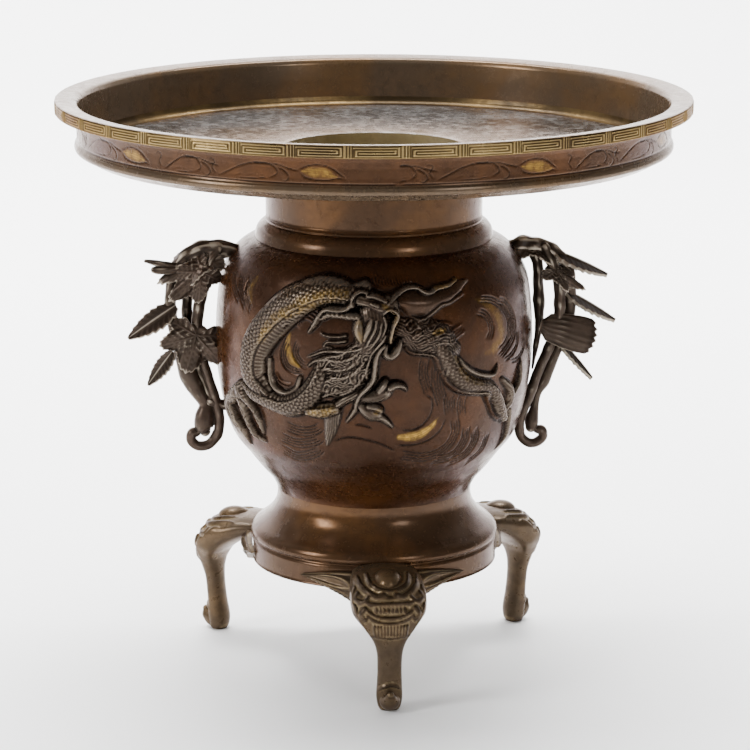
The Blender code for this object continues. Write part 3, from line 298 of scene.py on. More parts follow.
RIGHT_STEMS = (
    ((-14, 0, 120, 1.1), (-5, 0, 122, 1.5), (5, 0, 120.6, 1.5), (13.4, 0, 116, 1.3),
     (18.6, -1, 109.6, 1.1), (20.2, -1, 100, 1), (20.2, -1, 88, 1), (18, 0, 76, 1), (14, 0, 68, 0.95),
     (10.5, 0, 60, 1.05), (7, 0, 51, 1.1), (3.5, 0, 44, 0.8), (2.2, 0, 36, 0.8), (1, 0, 30, 1.2),
     (0.6, 0, 26, 1)),
    ((6, 3, 121, 0.9), (12.7, 3, 106, 1), (14, 3, 96, 1), (14, 3, 86, 0.95), (12, 3, 77, 0.9),
     (9.1, 3, 69, 0.9), (3.5, 3, 56, 0.9), (-1, 3, 43, 0.88), (-4.8, 2, 33, 0.86), (-5.6, 1, 26.4, 0.84),
     (-4.4, 0, 21, 0.84), (-0.8, 0, 17.8, 0.84), (3.4, 0, 17.8, 0.84), (6.6, 0, 20.6, 0.84),
     (6.2, 0, 24.0, 0.86), (3.6, 0, 24.8, 0.7)),
    ((-2, -3, 122, 0.9), (3.4, -4, 112, 0.95), (4, -5, 101, 0.95), (4.6, -5, 90, 1), (4.6, -5, 78, 0.7),
     (3, -5, 66, 0.45), (1.6, -5, 56, 0.2)),
)
# Leaves: base and tip, each as out, front and up, the way the face looks, and the width. The folded ones
# have a single blade.
LEFT_LEAVES = (
    ((-3, 3, 122.5), (29, 5, 108.5), (0.2, 0.75, 0.7), 19),
    ((1, 6, 116.5), (23, 10, 98.5), (0.0, 1.0, 0.3), 20),
    ((8, 6, 85.5), (15.5, 10, 61), (-0.05, 1.0, 0.3), 31),
)
LEFT_BLADES = (
    ((20, 3, 94), (45, 6, 78.5), (0.1, 0.9, 0.5), 10.5),
    ((22, 7, 71), (35.5, 8, 54), (0.3, 0.9, 0.4), 7.5),
)
RIGHT_LEAVES = (
    ((-8, 2, 121.5), (18, 3, 116.5), (0.05, 0.4, 1.0), 12),
    ((6, 5, 111.5), (27, 7, 101), (0.3, 0.8, 0.6), 12),
)
RIGHT_FANS = (
    ((4, 6, 81), (33, 8, 74), (0.05, 1.0, 0.15), 19),
)
RIGHT_BLADES = (
    ((12, 1, 118), (39.5, 3, 108.4), (0.1, 0.14, 1.0), 13),
    ((18, 0, 97), (44.5, 1, 84.0), (0.3, 0.14, 0.9), 12),
    ((13, 2, 73), (33, 4, 53.6), (0.7, 0.25, 0.7), 7),
)
# A leaf's lobes: direction in degrees from its tip, length and spread
LOBES = ((0, 1.0, 19), (52, 0.86, 20), (-52, 0.86, 20), (108, 0.66, 22), (-108, 0.66, 22))
LOBE_REACH = 28  # degrees on each side of a lobe's middle that its veins fill
VEIN_JUNCTION = 0.26  # of a leaf's length, from its base

# The patina: how wide its warm patches, its dark bloom, the flakes of gilding and the turned rings are in
# millimetres, then the near-black painted shade laid in hollows, the tint of its gloss and how much clear
# wax lies over it
PATCH_SIZE, BLOOM_SIZE, FLAKE_SIZE, RING_SIZE = 46, 5, 3.2, 0.9
HOLLOW_SHADE_COLOUR, BROWN_GLOSS, WAX_COAT = "#100a07", (0.5, 0.39, 0.32, 1.0), 0.05

# The studio, in metres. A softbox: where it stands, its size, its watts and what it is aimed at.
FLOOR_HALF_WIDTH = 3.5
FLOOR_FRONT, FLOOR_BACK, FLOOR_BEND, BACKDROP_TOP = -3.2, 1.6, 0.9, 3.4
VASE_MIDDLE, BACKDROP_FOOT = (0.0, 0.0, 0.15), (0.0, 3.0, 0.3)
SOFTBOXES = (
    ("key softbox", (-1.85, -0.8, 1.1), (0.6, 0.9), 38.0, VASE_MIDDLE),
    ("fill softbox", (0.9, -1.7, 0.9), (0.45, 0.5), 9.0, VASE_MIDDLE),
    ("top softbox", (0.0, 0.4, 2.2), (2.0, 1.6), 160.0, VASE_MIDDLE),
    ("backdrop softbox", (0.0, 0.75, 1.9), (2.6, 0.5), 240.0, BACKDROP_FOOT),
)
CAMERA_PLACE = (-0.1263, -1.5359, 0.5138)
CAMERA_PITCH, CAMERA_TURN = 13.35, 0.019  # degrees below level, and to the right of the vase's axis
CAMERA_LENS, CAMERA_SENSOR = 148.28, 36.0  # millimetres

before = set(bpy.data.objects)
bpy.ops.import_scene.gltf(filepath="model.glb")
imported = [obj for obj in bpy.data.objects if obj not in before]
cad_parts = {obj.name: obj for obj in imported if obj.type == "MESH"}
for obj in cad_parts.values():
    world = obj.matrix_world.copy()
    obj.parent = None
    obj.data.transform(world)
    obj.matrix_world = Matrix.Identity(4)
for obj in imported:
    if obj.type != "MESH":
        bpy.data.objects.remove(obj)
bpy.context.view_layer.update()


# Geometry helpers

def curve(points, steps):
    """Catmull-Rom curve through rows of any width, with steps spans between two rows."""
    p = np.array(points, dtype=float)
    p = np.vstack([2 * p[0] - p[1], p, 2 * p[-1] - p[-2]])
    t = (np.arange(steps) / steps)[:, None]
    rows = []
    for a, b, c, d in zip(p, p[1:], p[2:], p[3:]):
        rows.append(0.5 * (2 * b + (c - a) * t + (2 * a - 5 * b + 4 * c - d) * t**2
                           + (3 * b - a - 3 * c + d) * t**3))
    rows.append(p[-2][None])
    return np.vstack(rows)


def blur(field, rounds):
    """Soften a grid a little, in both directions."""
    for _ in range(rounds):
        for axis in (0, 1):
            near = np.concatenate([np.take(field, [0], axis), field, np.take(field, [-1], axis)], axis)
            size = field.shape[axis]
            before, after = (np.take(near, range(k, k + size), axis) for k in (0, 2))
            field = 0.25 * before + 0.5 * field + 0.25 * after
    return field


def scales(run, across, length, width, rise):
    """Heights of overlapping scales whose free edges point along the run."""
    best = np.zeros_like(run)
    row = np.floor(2 * run / length)
    for k in (row - 1, row, row + 1):
        shift = 0.5 * np.mod(k, 2)
        side = across - (np.round(across / width - shift) + shift) * width
        ahead = run - k * length / 2
        inside = np.hypot(ahead / (0.62 * length), side / (0.56 * width)) < 1
        best = np.where(inside, np.maximum(best, rise * (0.5 + 0.8 * ahead / length)), best)
    return best


def hairs(run, across, pitch, depth):
    """Depths of wavy grooves that follow the run."""
    wave = np.cos(2 * np.pi * (across / pitch + 0.25 * np.sin(run / 3.1)))
    return -depth * (0.5 - 0.5 * wave) ** 2


class Sheet:
    """A height field over a drawing, with its gilding and where its figure lies."""

    def __init__(self, along, up):
        self.along = along
        self.up = up
        self.a, self.u = np.meshgrid(along, up, indexing="ij")
        self.height = np.zeros_like(self.a)
        self.figure = np.zeros_like(self.a)
        self.gilt = np.zeros_like(self.a)

    def nearest(self, path, reach):
        """The window round a path, and there: distance, signed distance, run, and place along the path."""
        low = path[:, :2].min(axis=0) - reach
        high = path[:, :2].max(axis=0) + reach
        box = (slice(*np.searchsorted(self.along, (low[0], high[0]))),
               slice(*np.searchsorted(self.up, (low[1], high[1]))))
        x, y = self.a[box], self.u[box]
        away = np.full(x.shape, 1e9)
        across, run, place = np.zeros(x.shape), np.zeros(x.shape), np.zeros(x.shape)
        length = 0.0
        for k, (near, far) in enumerate(zip(path[:, :2], path[1:, :2])):
            step = far - near
            size = math.hypot(*step)
            if size < 1e-6:
                continue
            t = np.clip(((x - near[0]) * step[0] + (y - near[1]) * step[1]) / size**2, 0, 1)
            dx, dy = x - near[0] - t * step[0], y - near[1] - t * step[1]
            distance = np.hypot(dx, dy)
            closer = distance < away
            away = np.where(closer, distance, away)
            across = np.where(closer, (step[0] * dy - step[1] * dx) / size, across)
            run = np.where(closer, length + t * size, run)
            place = np.where(closer, k + t, place)
            length += size
        return box, away, across, run, place, length

    def form(self, points, detail=None, flat=2.0, power=0.5, tone=1.0):
        """Raise a rounded form along a path of (along, up, half width, height)."""
        path = curve(points, 6)
        box, away, across, run, place, _ = self.nearest(path, path[:, 2].max())
        half = np.interp(place, np.arange(len(path)), path[:, 2])
        top = np.interp(place, np.arange(len(path)), path[:, 3])
        share = np.clip(away / half, 0, 1)
        made = top * (1 - share**flat) ** power
        if detail:
            made = made + detail(run, across, across / half)
        inside = (away < half) & (made > self.height[box])
        self.height[box] = np.where(inside, made, self.height[box])
        self.figure[box] = np.where(away < half, np.maximum(self.figure[box], tone), self.figure[box])

    def line(self, points, half, height, count=1, spacing=0.0):
        """Raise or cut thin lines along a path, several side by side."""
        path = curve(points, 8)
        reach = half + count * spacing / 2
        box, away, across, run, _, length = self.nearest(path, reach)
        total = np.zeros(away.shape)
        for k in range(count):
            middle = (k - (count - 1) / 2) * spacing
            ends = np.clip(np.minimum(run, length - run) / 3.0 - 0.25 * (k % 3), 0, 1)
            overshoot = np.sqrt(np.maximum(away**2 - across**2, 0))
            distance = np.hypot(across - middle, overshoot)
            total = total + height * ends * np.clip(1 - (distance / half) ** 2, 0, 1) ** 1.5
        self.height[box] += total

    def gild(self, points, strength):
        """Gild along a path of (along, up, half width), fading towards its edges."""
        path = curve(points, 6)
        box, away, across, _, place, _ = self.nearest(path, path[:, 2].max())
        share = np.clip(away / np.interp(place, np.arange(len(path)), path[:, 2]), 0, 1)
        streaks = 0.7 + 0.3 * np.cos(2 * np.pi * across / 1.1)
        self.gilt[box] = np.maximum(self.gilt[box], strength * streaks * (1 - share**2) ** 1.4)

    def worn(self):
        """How deep a point lies below its neighbours and how proud it stands, each from 0 to 1. The depth,
        over fine creases and over the broad ground round high relief, is painted as shade; the pride as a
        paler edge, partly worn metal and partly a painted highlight.
        """
        near = blur(self.height, 2) - self.height
        far = blur(self.height, 14) - self.height
        hollow_shade = np.clip(near / 0.16, 0, 1) + 0.6 * np.clip(far / 1.6, 0, 1)
        return np.clip(hollow_shade, 0, 1), np.clip(-near / 0.16, 0, 1)


def make_mesh(name, points, quads, attributes=None):
    """A smooth mesh object from arrays of points in millimetres and corner indices."""
    mesh = bpy.data.meshes.new(name)
    mesh.from_pydata((points.reshape(-1, 3) * MM).tolist(), [], quads.tolist())
    for key, values in (attributes or {}).items():
        layer = mesh.attributes.new(key, "FLOAT", "POINT")
        layer.data.foreach_set("value", np.ascontiguousarray(values, dtype=np.float32).ravel())
    mesh.update()
    mesh.shade_smooth()
    obj = bpy.data.objects.new(name, mesh)
    bpy.context.scene.collection.objects.link(obj)
    return obj


def grid_quads(columns, rows, wrap=True):
    """Corner indices of a grid; wrap joins the last column to the first."""
    index = np.arange(columns * rows).reshape(columns, rows)
    left = index if wrap else index[:-1]
    right = np.roll(index, -1, axis=0) if wrap else index[1:]
    return np.stack([left[:, :-1], right[:, :-1], right[:, 1:], left[:, 1:]], axis=-1).reshape(-1, 4)


def turned_points(outline, angles):
    """An outline of (radius, height) at each angle from the front, counter-clockwise from above."""
    radius, height = np.array(outline, dtype=float).T
    a = np.asarray(angles)[:, None]
    height = np.broadcast_to(height, (len(a), len(height)))
    return np.stack([radius * np.sin(a), -radius * np.cos(a), height], axis=-1)


def joined_mesh(name, grids):
    """One mesh from several grids of points that close round the vase's axis."""
    quads, count = [], 0
    for points in grids:
        quads.append(grid_quads(*points.shape[:2]) + count)
        count += points.shape[0] * points.shape[1]
    return make_mesh(name, np.vstack([points.reshape(-1, 3) for points in grids]), np.vstack(quads))


def rounded(outline, radius, steps=3):
    """An outline with its sharp corners eased by a small radius."""
    p = np.array(outline, dtype=float)
    made = [p[0]]
    for before, corner, after in zip(p, p[1:], p[2:]):
        back, ahead = before - corner, after - corner
        reach = min(radius, 0.45 * np.linalg.norm(back), 0.45 * np.linalg.norm(ahead))
        start = corner + back / np.linalg.norm(back) * reach
        end = corner + ahead / np.linalg.norm(ahead) * reach
        for t in np.linspace(0, 1, steps + 1):
            made.append((1 - t) ** 2 * start + 2 * t * (1 - t) * corner + t**2 * end)
    made.append(p[-1])
    return np.array(made)


def shade_hollows_wear_and_highlight_edges(mesh, depth):
    """Give a mesh its hollows and edges, from how far each point lies under or over its neighbours: hollows
    are painted as shade, edges made paler, partly as rubbed metal and partly as a painted highlight.
    """
    count = len(mesh.vertices)
    points, normals = np.zeros(count * 3), np.zeros(count * 3)
    mesh.vertices.foreach_get("co", points)
    mesh.vertices.foreach_get("normal", normals)
    points, normals = points.reshape(-1, 3) / MM, normals.reshape(-1, 3)
    ends = np.zeros(len(mesh.edges) * 2, dtype=np.int64)
    mesh.edges.foreach_get("vertices", ends)
    near, far = ends.reshape(-1, 2).T
    degree = np.maximum(np.bincount(ends, minlength=count), 1)

    def around(values):
        total = np.zeros_like(values)
        np.add.at(total, near, values[far])
        np.add.at(total, far, values[near])
        return total / (degree[:, None] if values.ndim > 1 else degree)

    bend = ((around(around(points)) - points) * normals).sum(axis=1)
    bend = 0.5 * bend + 0.5 * around(bend)
    level = bend
    for _ in range(14):
        level = around(level)
    bend = bend - level
    for key, values in (("hollow_shade", bend), ("edge", -bend)):
        layer = mesh.attributes.new(key, "FLOAT", "POINT")
        layer.data.foreach_set("value", np.clip(values / depth, 0, 1).astype(np.float32))


def finish_piece(obj, node, slot, *materials):
    """Dress a piece, fix it to the body and let it stand in for its CAD node."""
    for material in materials:
        obj.data.materials.append(material)
    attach(obj, "root")
    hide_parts(node)


# Finishes

def srgb(code):
    """A linear colour from an sRGB hex code."""
    parts = [int(code[k:k + 2], 16) / 255 for k in (1, 3, 5)]
    return tuple(p / 12.92 if p <= 0.04045 else ((p + 0.055) / 1.055) ** 2.4 for p in parts) + (1.0,)


def add(tree, kind, values=None, **settings):
    """Add a node; values are put or linked into its sockets by name or number."""
    node = tree.nodes.new(kind)
    for key, value in settings.items():
        setattr(node, key, value)
    for key, value in (values or {}).items():
        if isinstance(value, bpy.types.NodeSocket):
            tree.links.new(value, node.inputs[key])
        else:
            node.inputs[key].default_value = value
    return node


def mix(tree, factor, one, other):
    """One colour that turns into the other as the factor rises."""
    return add(tree, "ShaderNodeMix", {0: factor, 6: one, 7: other}, data_type="RGBA").outputs[2]


def steps_of(tree, value, low, high, to_low=0.0, to_high=1.0):
    """A smooth step from one level to another while the value goes from low to high."""
    values = {"Value": value, "From Min": low, "From Max": high, "To Min": to_low, "To Max": to_high}
    return add(tree, "ShaderNodeMapRange", values, interpolation_type="SMOOTHSTEP").outputs[0]


def noise(tree, vector, size, detail=4.0, roughness=0.55):
    """Noise whose features are about size millimetres across."""
    values = {"Vector": vector, "Scale": 1000.0 / size, "Detail": detail, "Roughness": roughness}
    return add(tree, "ShaderNodeTexNoise", values).outputs[0]


def stretched(tree, vector, scale):
    """The place, drawn out or pressed together along its axes."""
    return add(tree, "ShaderNodeMapping", {"Vector": vector, "Scale": scale}).outputs[0]


def bronze(name, base, patch, dark, shine, bright="#7d6c58", turning=0.0, grain=0.2, metallic=0.42,
           rubbed=0.4, shade_in_hollows=0.85):
    """Patinated cast bronze, whose colour the eye sees in layers.

    The patina goes from its base to warmer patches, with a finer dark bloom. Proud edges are paler, partly
    as rubbed metal and partly as a painted highlight, hollows are darkened as painted shade, and gilding
    lies where the piece was drawn with it. The metal shows only in part through the patina, so it is neither
    fully metallic nor sharply polished.
    """
    made = bpy.data.materials.new(name)
    made.use_nodes = True
    tree = made.node_tree
    shader = tree.nodes["Principled BSDF"]
    place = add(tree, "ShaderNodeTexCoord").outputs["Object"]
    figure, gilt, hollow_shade, edge = (
        add(tree, "ShaderNodeAttribute", attribute_name=key).outputs["Fac"]
        for key in ("figure", "gilt", "hollow_shade", "edge"))
    broad = noise(tree, place, PATCH_SIZE, 3.0)
    fine = noise(tree, place, BLOOM_SIZE, 6.0, 0.65)
    settings = bpy.context.scene.vase_settings
    colour = mix(tree, steps_of(tree, broad, 0.42, 0.66), srgb(base), srgb(patch))
    colour = mix(tree, steps_of(tree, fine, 0.35, 0.75, 0.0, 0.5), colour, srgb(dark))
    colour = mix(tree, steps_of(tree, figure, 0.0, 1.0, 0.0, 0.85), colour, (*settings.figure_colour, 1.0))
    # Proud edges made paler: partly rubbed metal, partly a painted highlight
    colour = mix(tree, steps_of(tree, edge, 0.15, 1.0, 0.0, rubbed), colour, srgb(bright))
    # Painted shade: hollows and grooves darkened towards near black
    colour = mix(tree, steps_of(tree, hollow_shade, 0.0, 0.9, 0.0, shade_in_hollows), colour, srgb(HOLLOW_SHADE_COLOUR))
    left = steps_of(tree, noise(tree, place, FLAKE_SIZE, 5.0), 0.3, 0.65, 0.1, 0.95)
    worn = add(tree, "ShaderNodeMath", {0: gilt, 1: left}, operation="MULTIPLY").outputs[0]
    colour = mix(tree, worn, colour, (*settings.gilt_colour, 1.0))
    tree.links.new(colour, shader.inputs["Base Color"])
    rough = steps_of(tree, fine, 0.3, 0.7, shine, shine + 0.14)
    tree.links.new(rough, shader.inputs["Roughness"])
    shader.inputs["Metallic"].default_value = metallic
    shader.inputs["Specular IOR Level"].default_value = 0.32
    shader.inputs["Specular Tint"].default_value = BROWN_GLOSS
    shader.inputs["Coat Weight"].default_value = WAX_COAT
    shader.inputs["Coat Roughness"].default_value = 0.16
    height = fine
    if turning:
        rings = noise(tree, stretched(tree, place, (0.02, 0.02, 1.0)), RING_SIZE, 2.0)
        height = mix(tree, turning, fine, rings)
    bump = add(tree, "ShaderNodeBump", {"Strength": grain, "Distance": 0.0004, "Height": height})
    tree.links.new(bump.outputs[0], shader.inputs["Normal"])
    return made


# The body

def belly_radius(height):
    """The belly's plain radius at heights over the floor."""
    outline = curve(BELLY, 10)
    return np.interp(height, outline[:, 1], outline[:, 0])


def coil_detail(length, width, rise):
    """Scales on the back, a smooth belly inside the bend and a notched crest outside it."""
    def detail(run, across, share):
        back = scales(run, across, length, width, rise)
        crest = 0.9 * np.abs(np.mod(run / 2.6 + 1.3 * share, 1.0) - 0.5) - 0.1
        made = np.where(share < 0.45, back, 0.1 - 0.4 * np.clip(1 - np.abs(share - 0.49) / 0.06, 0, 1))
        made = np.where(share > 0.55, 0.28 * np.cos(2 * np.pi * run / 2.4), made)
        return np.where(share < -0.84, crest, made) * np.clip(1.4 - np.abs(share), 0, 1)
    return detail


def hair_detail(pitch, depth):
    """Hair that follows the form."""
    return lambda run, across, share: hairs(run, across, pitch, depth)


def curl_detail(pitch, depth):
    """Wavy locks that run along the form and swing from side to side."""
    def detail(run, across, share):
        swing = 1.5 * np.sin(run / 2.3 + 0.55 * across) + 0.7 * np.sin(run / 1.1 - 0.9 * across)
        return depth * np.cos(2 * np.pi * (across + swing) / pitch)
    return detail


def rope_detail(run, across, share):
    """The twist of a ridged horn."""
    return 0.35 * np.cos(2 * np.pi * (run / 2.3 + 0.55 * share))


def hatch_detail(run, across, share):
    """Short bars across the form."""
    return 0.4 * np.cos(2 * np.pi * run / 1.5)


def draw_dragon(sheet, settings):
    """The dragon, its clouds and the engraved waves behind it."""
    length, width = settings.scale_length / MM, settings.scale_width / MM
    scaled = coil_detail(length, width, 1.5)
    sheet.form(FIN, hair_detail(1.1, 0.5))
    sheet.form(GOLD_PATCH, scaled)
    sheet.form(COIL, scaled, flat=2.6)
    sheet.form(LOWER_COIL, scaled, flat=2.4)
    sheet.form(LOOP_RIM)
    sheet.form(CLOUD, lambda run, across, share: 0.3 * np.cos(2.4 * share + run / 4.0), power=1.3, tone=0.6)
    sheet.form(SHOULDER, curl_detail(2.0, 0.55), power=1.0, tone=0.6)
    sheet.form(HIND_BODY, coil_detail(length, width, 1.0), flat=2.4, power=0.8, tone=0.8)
    sheet.form(HIND_FOOT, hair_detail(1.4, 0.5), tone=0.8)
    for points in PAW:
        left = points[0][0] < -60
        sheet.form(points, curl_detail(2.3, 0.3) if left else None, flat=2.4 if left else 2.0)
    sheet.form(FUR_LEG, hair_detail(1.3, 0.7))
    sheet.form(COMB, hatch_detail)
    for points in MANE_MASS:
        sheet.form(points, curl_detail(1.9, 0.75))
    for points in MANE:
        thinner = [(x, y, 0.72 * half, top) for x, y, half, top in points]
        sheet.form(thinner, curl_detail(1.7, 0.4))
    for points in HEAD_FORMS:
        sheet.form(points, hair_detail(1.5, 0.3) if points[0][2] > 3 else None, flat=2.4)
    sheet.form(HORNS[0])
    sheet.form(HORNS[1], rope_detail)
    sheet.form(WHISKER)
    sheet.form(BARBEL)
    for points, count, spacing, height in STRANDS:
        sheet.line(points, 0.62 * spacing, height, count, spacing)
    for points, half, height in LINES:
        sheet.line(points, half, height)
    sheet.height = 0.5 * sheet.height + 0.5 * blur(sheet.height, 1)
    for points, count, spacing, depth in ENGRAVED:
        sheet.line(points, 0.7, -2.0 * depth, count, spacing)
        sheet.line([(x + 0.55, y + 0.55) for x, y in points], 0.5, 0.3 * depth, count, spacing)
    for start, end, count, reach in COMBED:
        for x, y in zip(np.linspace(start[0], end[0], count), np.linspace(start[1], end[1], count)):
            middle = (x + 0.25 * reach[0], y + 0.65 * reach[1])
            sheet.line(((x, y), middle, (x + reach[0], y + reach[1])), 0.6, 0.4)
    for points, strength in GILT:
        sheet.gild(points, strength)
    sheet.figure = blur(sheet.figure, 2)


def build_belly(settings):
    """The belly in two pieces: its front with the dragon, on a fine grid, and its plain back."""
    fine = settings.relief_step / MM
    coarse = 1.25 * fine
    whole = 2 * math.pi * BELLY_RADIUS
    along = np.concatenate([np.arange(BELLY_LEFT, FINE_LEFT, coarse), np.arange(FINE_LEFT, FINE_RIGHT, fine),
                            np.arange(FINE_RIGHT, BELLY_RIGHT, coarse), [BELLY_RIGHT]])
    up = np.concatenate([np.linspace(-2.0, 17.5, 12), np.arange(18.0, 30.0, 1.4 * fine),
                         np.arange(30.0, 118.0, fine), np.arange(118.0, 124.0, coarse),
                         np.linspace(124.4, 128.3, 7)])
    sheet = Sheet(along, up)
    draw_dragon(sheet, settings)
    # Painted shade in hollows, and proud edges made paler, partly as rubbed metal and partly as a painted
    # highlight, most of all on the dragon; gilding is thinned where the shade is painted
    hollow_shade, edge = sheet.worn()
    edge = edge * (0.25 + 0.75 * blur(sheet.figure, 2))
    gilt = sheet.gilt * (1 - 0.9 * hollow_shade)
    back = np.linspace(BELLY_RIGHT, whole + BELLY_LEFT, 78)
    made = []
    for name, columns in (("vase_belly_front", along), ("vase_belly_back", back)):
        front = columns is along
        a, u = np.meshgrid(columns / BELLY_RADIUS, up, indexing="ij")
        z = BELLY_BASE + u
        radius = belly_radius(z) + (sheet.height * settings.relief_scale if front else 0.0)
        points = np.stack([radius * np.sin(a), -radius * np.cos(a), z], axis=-1)
        layers = {"gilt": gilt, "figure": sheet.figure, "hollow_shade": hollow_shade, "edge": edge} if front else {}
        made.append(make_mesh(name, points, grid_quads(*a.shape, wrap=False), layers))
    return made


def build_foot_and_neck():
    """Foot ring, flare, collar, neck and the cavity, in one turned mesh with three runs."""
    angles = np.linspace(0, 2 * np.pi, BODY_COLUMNS, endpoint=False)
    foot = curve(UNDERSIDE[1:-1] + FOOT[:1], 1)
    outline = np.vstack([rounded(foot, 0.4), curve(FOOT[:2], 6), curve(FOOT[1:], 4), [(49.4, 92.5)]])
    upper = np.vstack([[(59.6, 221.0)], curve(COLLAR[:7], 5), curve(COLLAR[6:8], 3), curve(COLLAR[7:10], 6),
                       rounded(((54.9, 262.9), (54.9, 263.7), (51.3, 263.7), (51.3, 262.0)), 0.5),
                       curve(INSIDE[1:-2], 3), INSIDE[-2:]])
    runs = (outline, upper, UNDERSIDE[:2])
    return joined_mesh("vase_foot_and_neck", [turned_points(run, angles) for run in runs])


# The dish

def draw_scroll(sheet, settings):
    """Thin engraved leaves and tendrils, and gilt pointed ovals, round the dish's wall."""
    pitch = 2 * math.pi * WALL_RADIUS / settings.wall_repeats
    leaf_outline = ((0.0, 274.2), (0.18, 276.8), (0.38, 279.6), (0.58, 281.4), (0.76, 281.8), (0.92, 280.6),
                    (1.0, 278.2), (0.97, 276.2), (0.86, 274.9))
    for k in range(settings.wall_repeats):
        middle = (k + OVAL_SHIFT) * pitch

        def cut(*points, half=0.33, depth=0.3):
            sheet.line([(middle + x, y) for x, y in points], half, -depth)

        sheet.gild([(middle - 8.0, 278.4, 0.6), (middle - 4.0, 278.2, 2.6), (middle + 3.0, 277.4, 3.0),
                    (middle + 8.0, 276.2, 0.6)], 0.66)
        cut((-10, 279.2), (-4, 281.4), (4, 280.9), (10.5, 276.6), (12, 274.6))
        cut((-9.5, 278.2), (-6, 275.4), (2, 274.4), (9, 275.4), (12, 274.6))
        for start, size in ((-50.0, 30.0), (-82.0, 22.0)):
            end = start + size
            cut(*((start + t * size, y) for t, y in leaf_outline))
            cut((start + 0.3 * size, 273.8), (start + 0.6 * size, 274.0), (start + 0.86 * size, 274.9),
                half=0.3, depth=0.26)
            cut((start + 0.5 * size, 280.8), (end - 2, 281.4), (end + 5, 279.6), (end + 11, 278.4))
            cut((end - 1, 280.4), (end + 3.4, 278.4), (end + 5.4, 275.8), (end + 4.2, 273.7),
                (end + 2.2, 273.9), (end + 2.4, 275.4))
            for t in (0.3, 0.48, 0.66):
                x = start + t * size
                cut((x, 275.0), (x + 2.2, 275.8), (x + 4.4, 275.6), half=0.3, depth=0.2)
            cut((start - 1, 274.6), (start - 3.4, 277.6), (start - 2.0, 280.6), (start - 4.2, 281.6),
                (start - 5.6, 280.2))
    sheet.line([(x, 272.6) for x in np.arange(0.0, 2 * math.pi * WALL_RADIUS, 12.0)], 0.5, -0.4)


def draw_fret(sheet, settings):
    """A key fret: pairs of tall bars, and between them a squared spiral, cut into the rim's face."""
    pitch = 2 * math.pi * RIM_RADIUS / settings.fret_repeats
    rib = settings.fret_rib / MM
    low, high = FRET_LOW, FRET_HIGH
    quarter = (high - low) / 4
    left, right, lane = 4.4, pitch - 0.9, 1.7
    bars = [((x, low), (x, high)) for x in (0.9, 2.3, 3.5)]
    spiral = ((left, high), (right, high), (right, low), (left, low), (left, high - quarter),
              (right - lane, high - quarter), (right - lane, low + quarter), (left + lane, low + quarter),
              (left + lane, low + 2 * quarter), (right - 2 * lane, low + 2 * quarter))
    for k in range(settings.fret_repeats):
        for path in (*bars, spiral):
            box, away, *_ = sheet.nearest(np.array(path) + (k * pitch, 0.0), rib)
            sheet.height[box] = np.minimum(sheet.height[box], -0.3 * np.clip(1.5 - 1.5 * away / rib, 0, 1))


def build_dish(settings):
    """The dish's engraved wall, the face of its rim, and the rest as a turned shell."""
    made = []
    for name, draw, radius, columns, up, outline in (
        ("dish_wall", draw_scroll, WALL_RADIUS, settings.wall_columns,
         np.concatenate([[271.7], np.arange(272.1, 284.2, 0.48), [284.8]]),
         ((271.5, 149.15), (275, 149.1), (280, 149.2), (283, 149.6), (285, 150.6))),
        ("dish_key_fret", draw_fret, RIM_RADIUS, settings.fret_columns,
         np.concatenate([[286.3, 286.5], np.arange(286.7, 292.1, 0.33), [292.3]]),
         ((286.3, 159.5), (286.7, 159.9), (292.0, 159.9), (292.3, 159.6))),
    ):
        sheet = Sheet(np.linspace(0, 2 * math.pi * radius, columns, endpoint=False), up)
        draw(sheet, settings)
        angle = sheet.a / radius
        level, reach = np.array(outline).T
        out = np.interp(sheet.u, level, reach) + sheet.height
        points = np.stack([out * np.sin(angle), -out * np.cos(angle), sheet.u], axis=-1)
        # Painted shade in the cut grooves; the edges beside them made paler, partly as wear and partly as a
        # painted highlight
        hollow_shade = np.clip(-sheet.height / 0.3, 0, 1)
        edge = np.clip((sheet.height - blur(sheet.height, 2)) / 0.1, 0, 1)
        made.append(make_mesh(name, points, grid_quads(*sheet.a.shape),
                              {"gilt": sheet.gilt, "hollow_shade": hollow_shade, "edge": edge}))

    angles = np.linspace(0, 2 * np.pi, DISH_COLUMNS, endpoint=False)
    spigot = rounded(((46.4, 266.2), (46.5, 244.0), (50.9, 244.0), (50.9, 264.0)), 0.6)
    under = rounded(((50.9, 263.9), (143.2, 264.0), (148.1, 266.9), (150.0, 267.6), (150.45, 269.2),
                     (150.0, 270.9), (149.3, 271.5), (149.1, 272.0)), 0.7)
    rim = rounded(((150.4, 284.6), (151.2, 285.4), (155.0, 286.2), (159.4, 286.3), (159.5, 286.4)), 0.4)
    top = rounded(((159.6, 292.25), (159.0, 292.5), (150.2, 291.5), (148.9, 290.9), (148.0, 289.0),
                   (147.2, 280.0), (146.6, 270.8)), 0.6)
    fillet = rounded(((146.6, 270.9), (146.2, 268.6), (144.6, 267.0), (142.6, 266.62)), 0.9)
    floor = ((142.8, 266.64), (120, 266.6), (96, 266.6), (72, 266.6), (49, 266.6), (47.6, 266.5),
             (46.4, 265.9))
    runs = ((HOLE, spigot), (SHELL, under), (SHELL, rim), (SHELL, top), (FILLET, fillet), (FLOOR, floor))
    grids = [turned_points(run, angles) for _, run in runs]
    shell = joined_mesh("dish_shell", grids)
    finish = np.concatenate([np.full(len(angles) * (points.shape[1] - 1), kind)
                             for (kind, _), points in zip(runs, grids)])
    shell.data.polygons.foreach_set("material_index", finish.astype(np.int32))
    return (*made, shell)


# Swept and joined forms

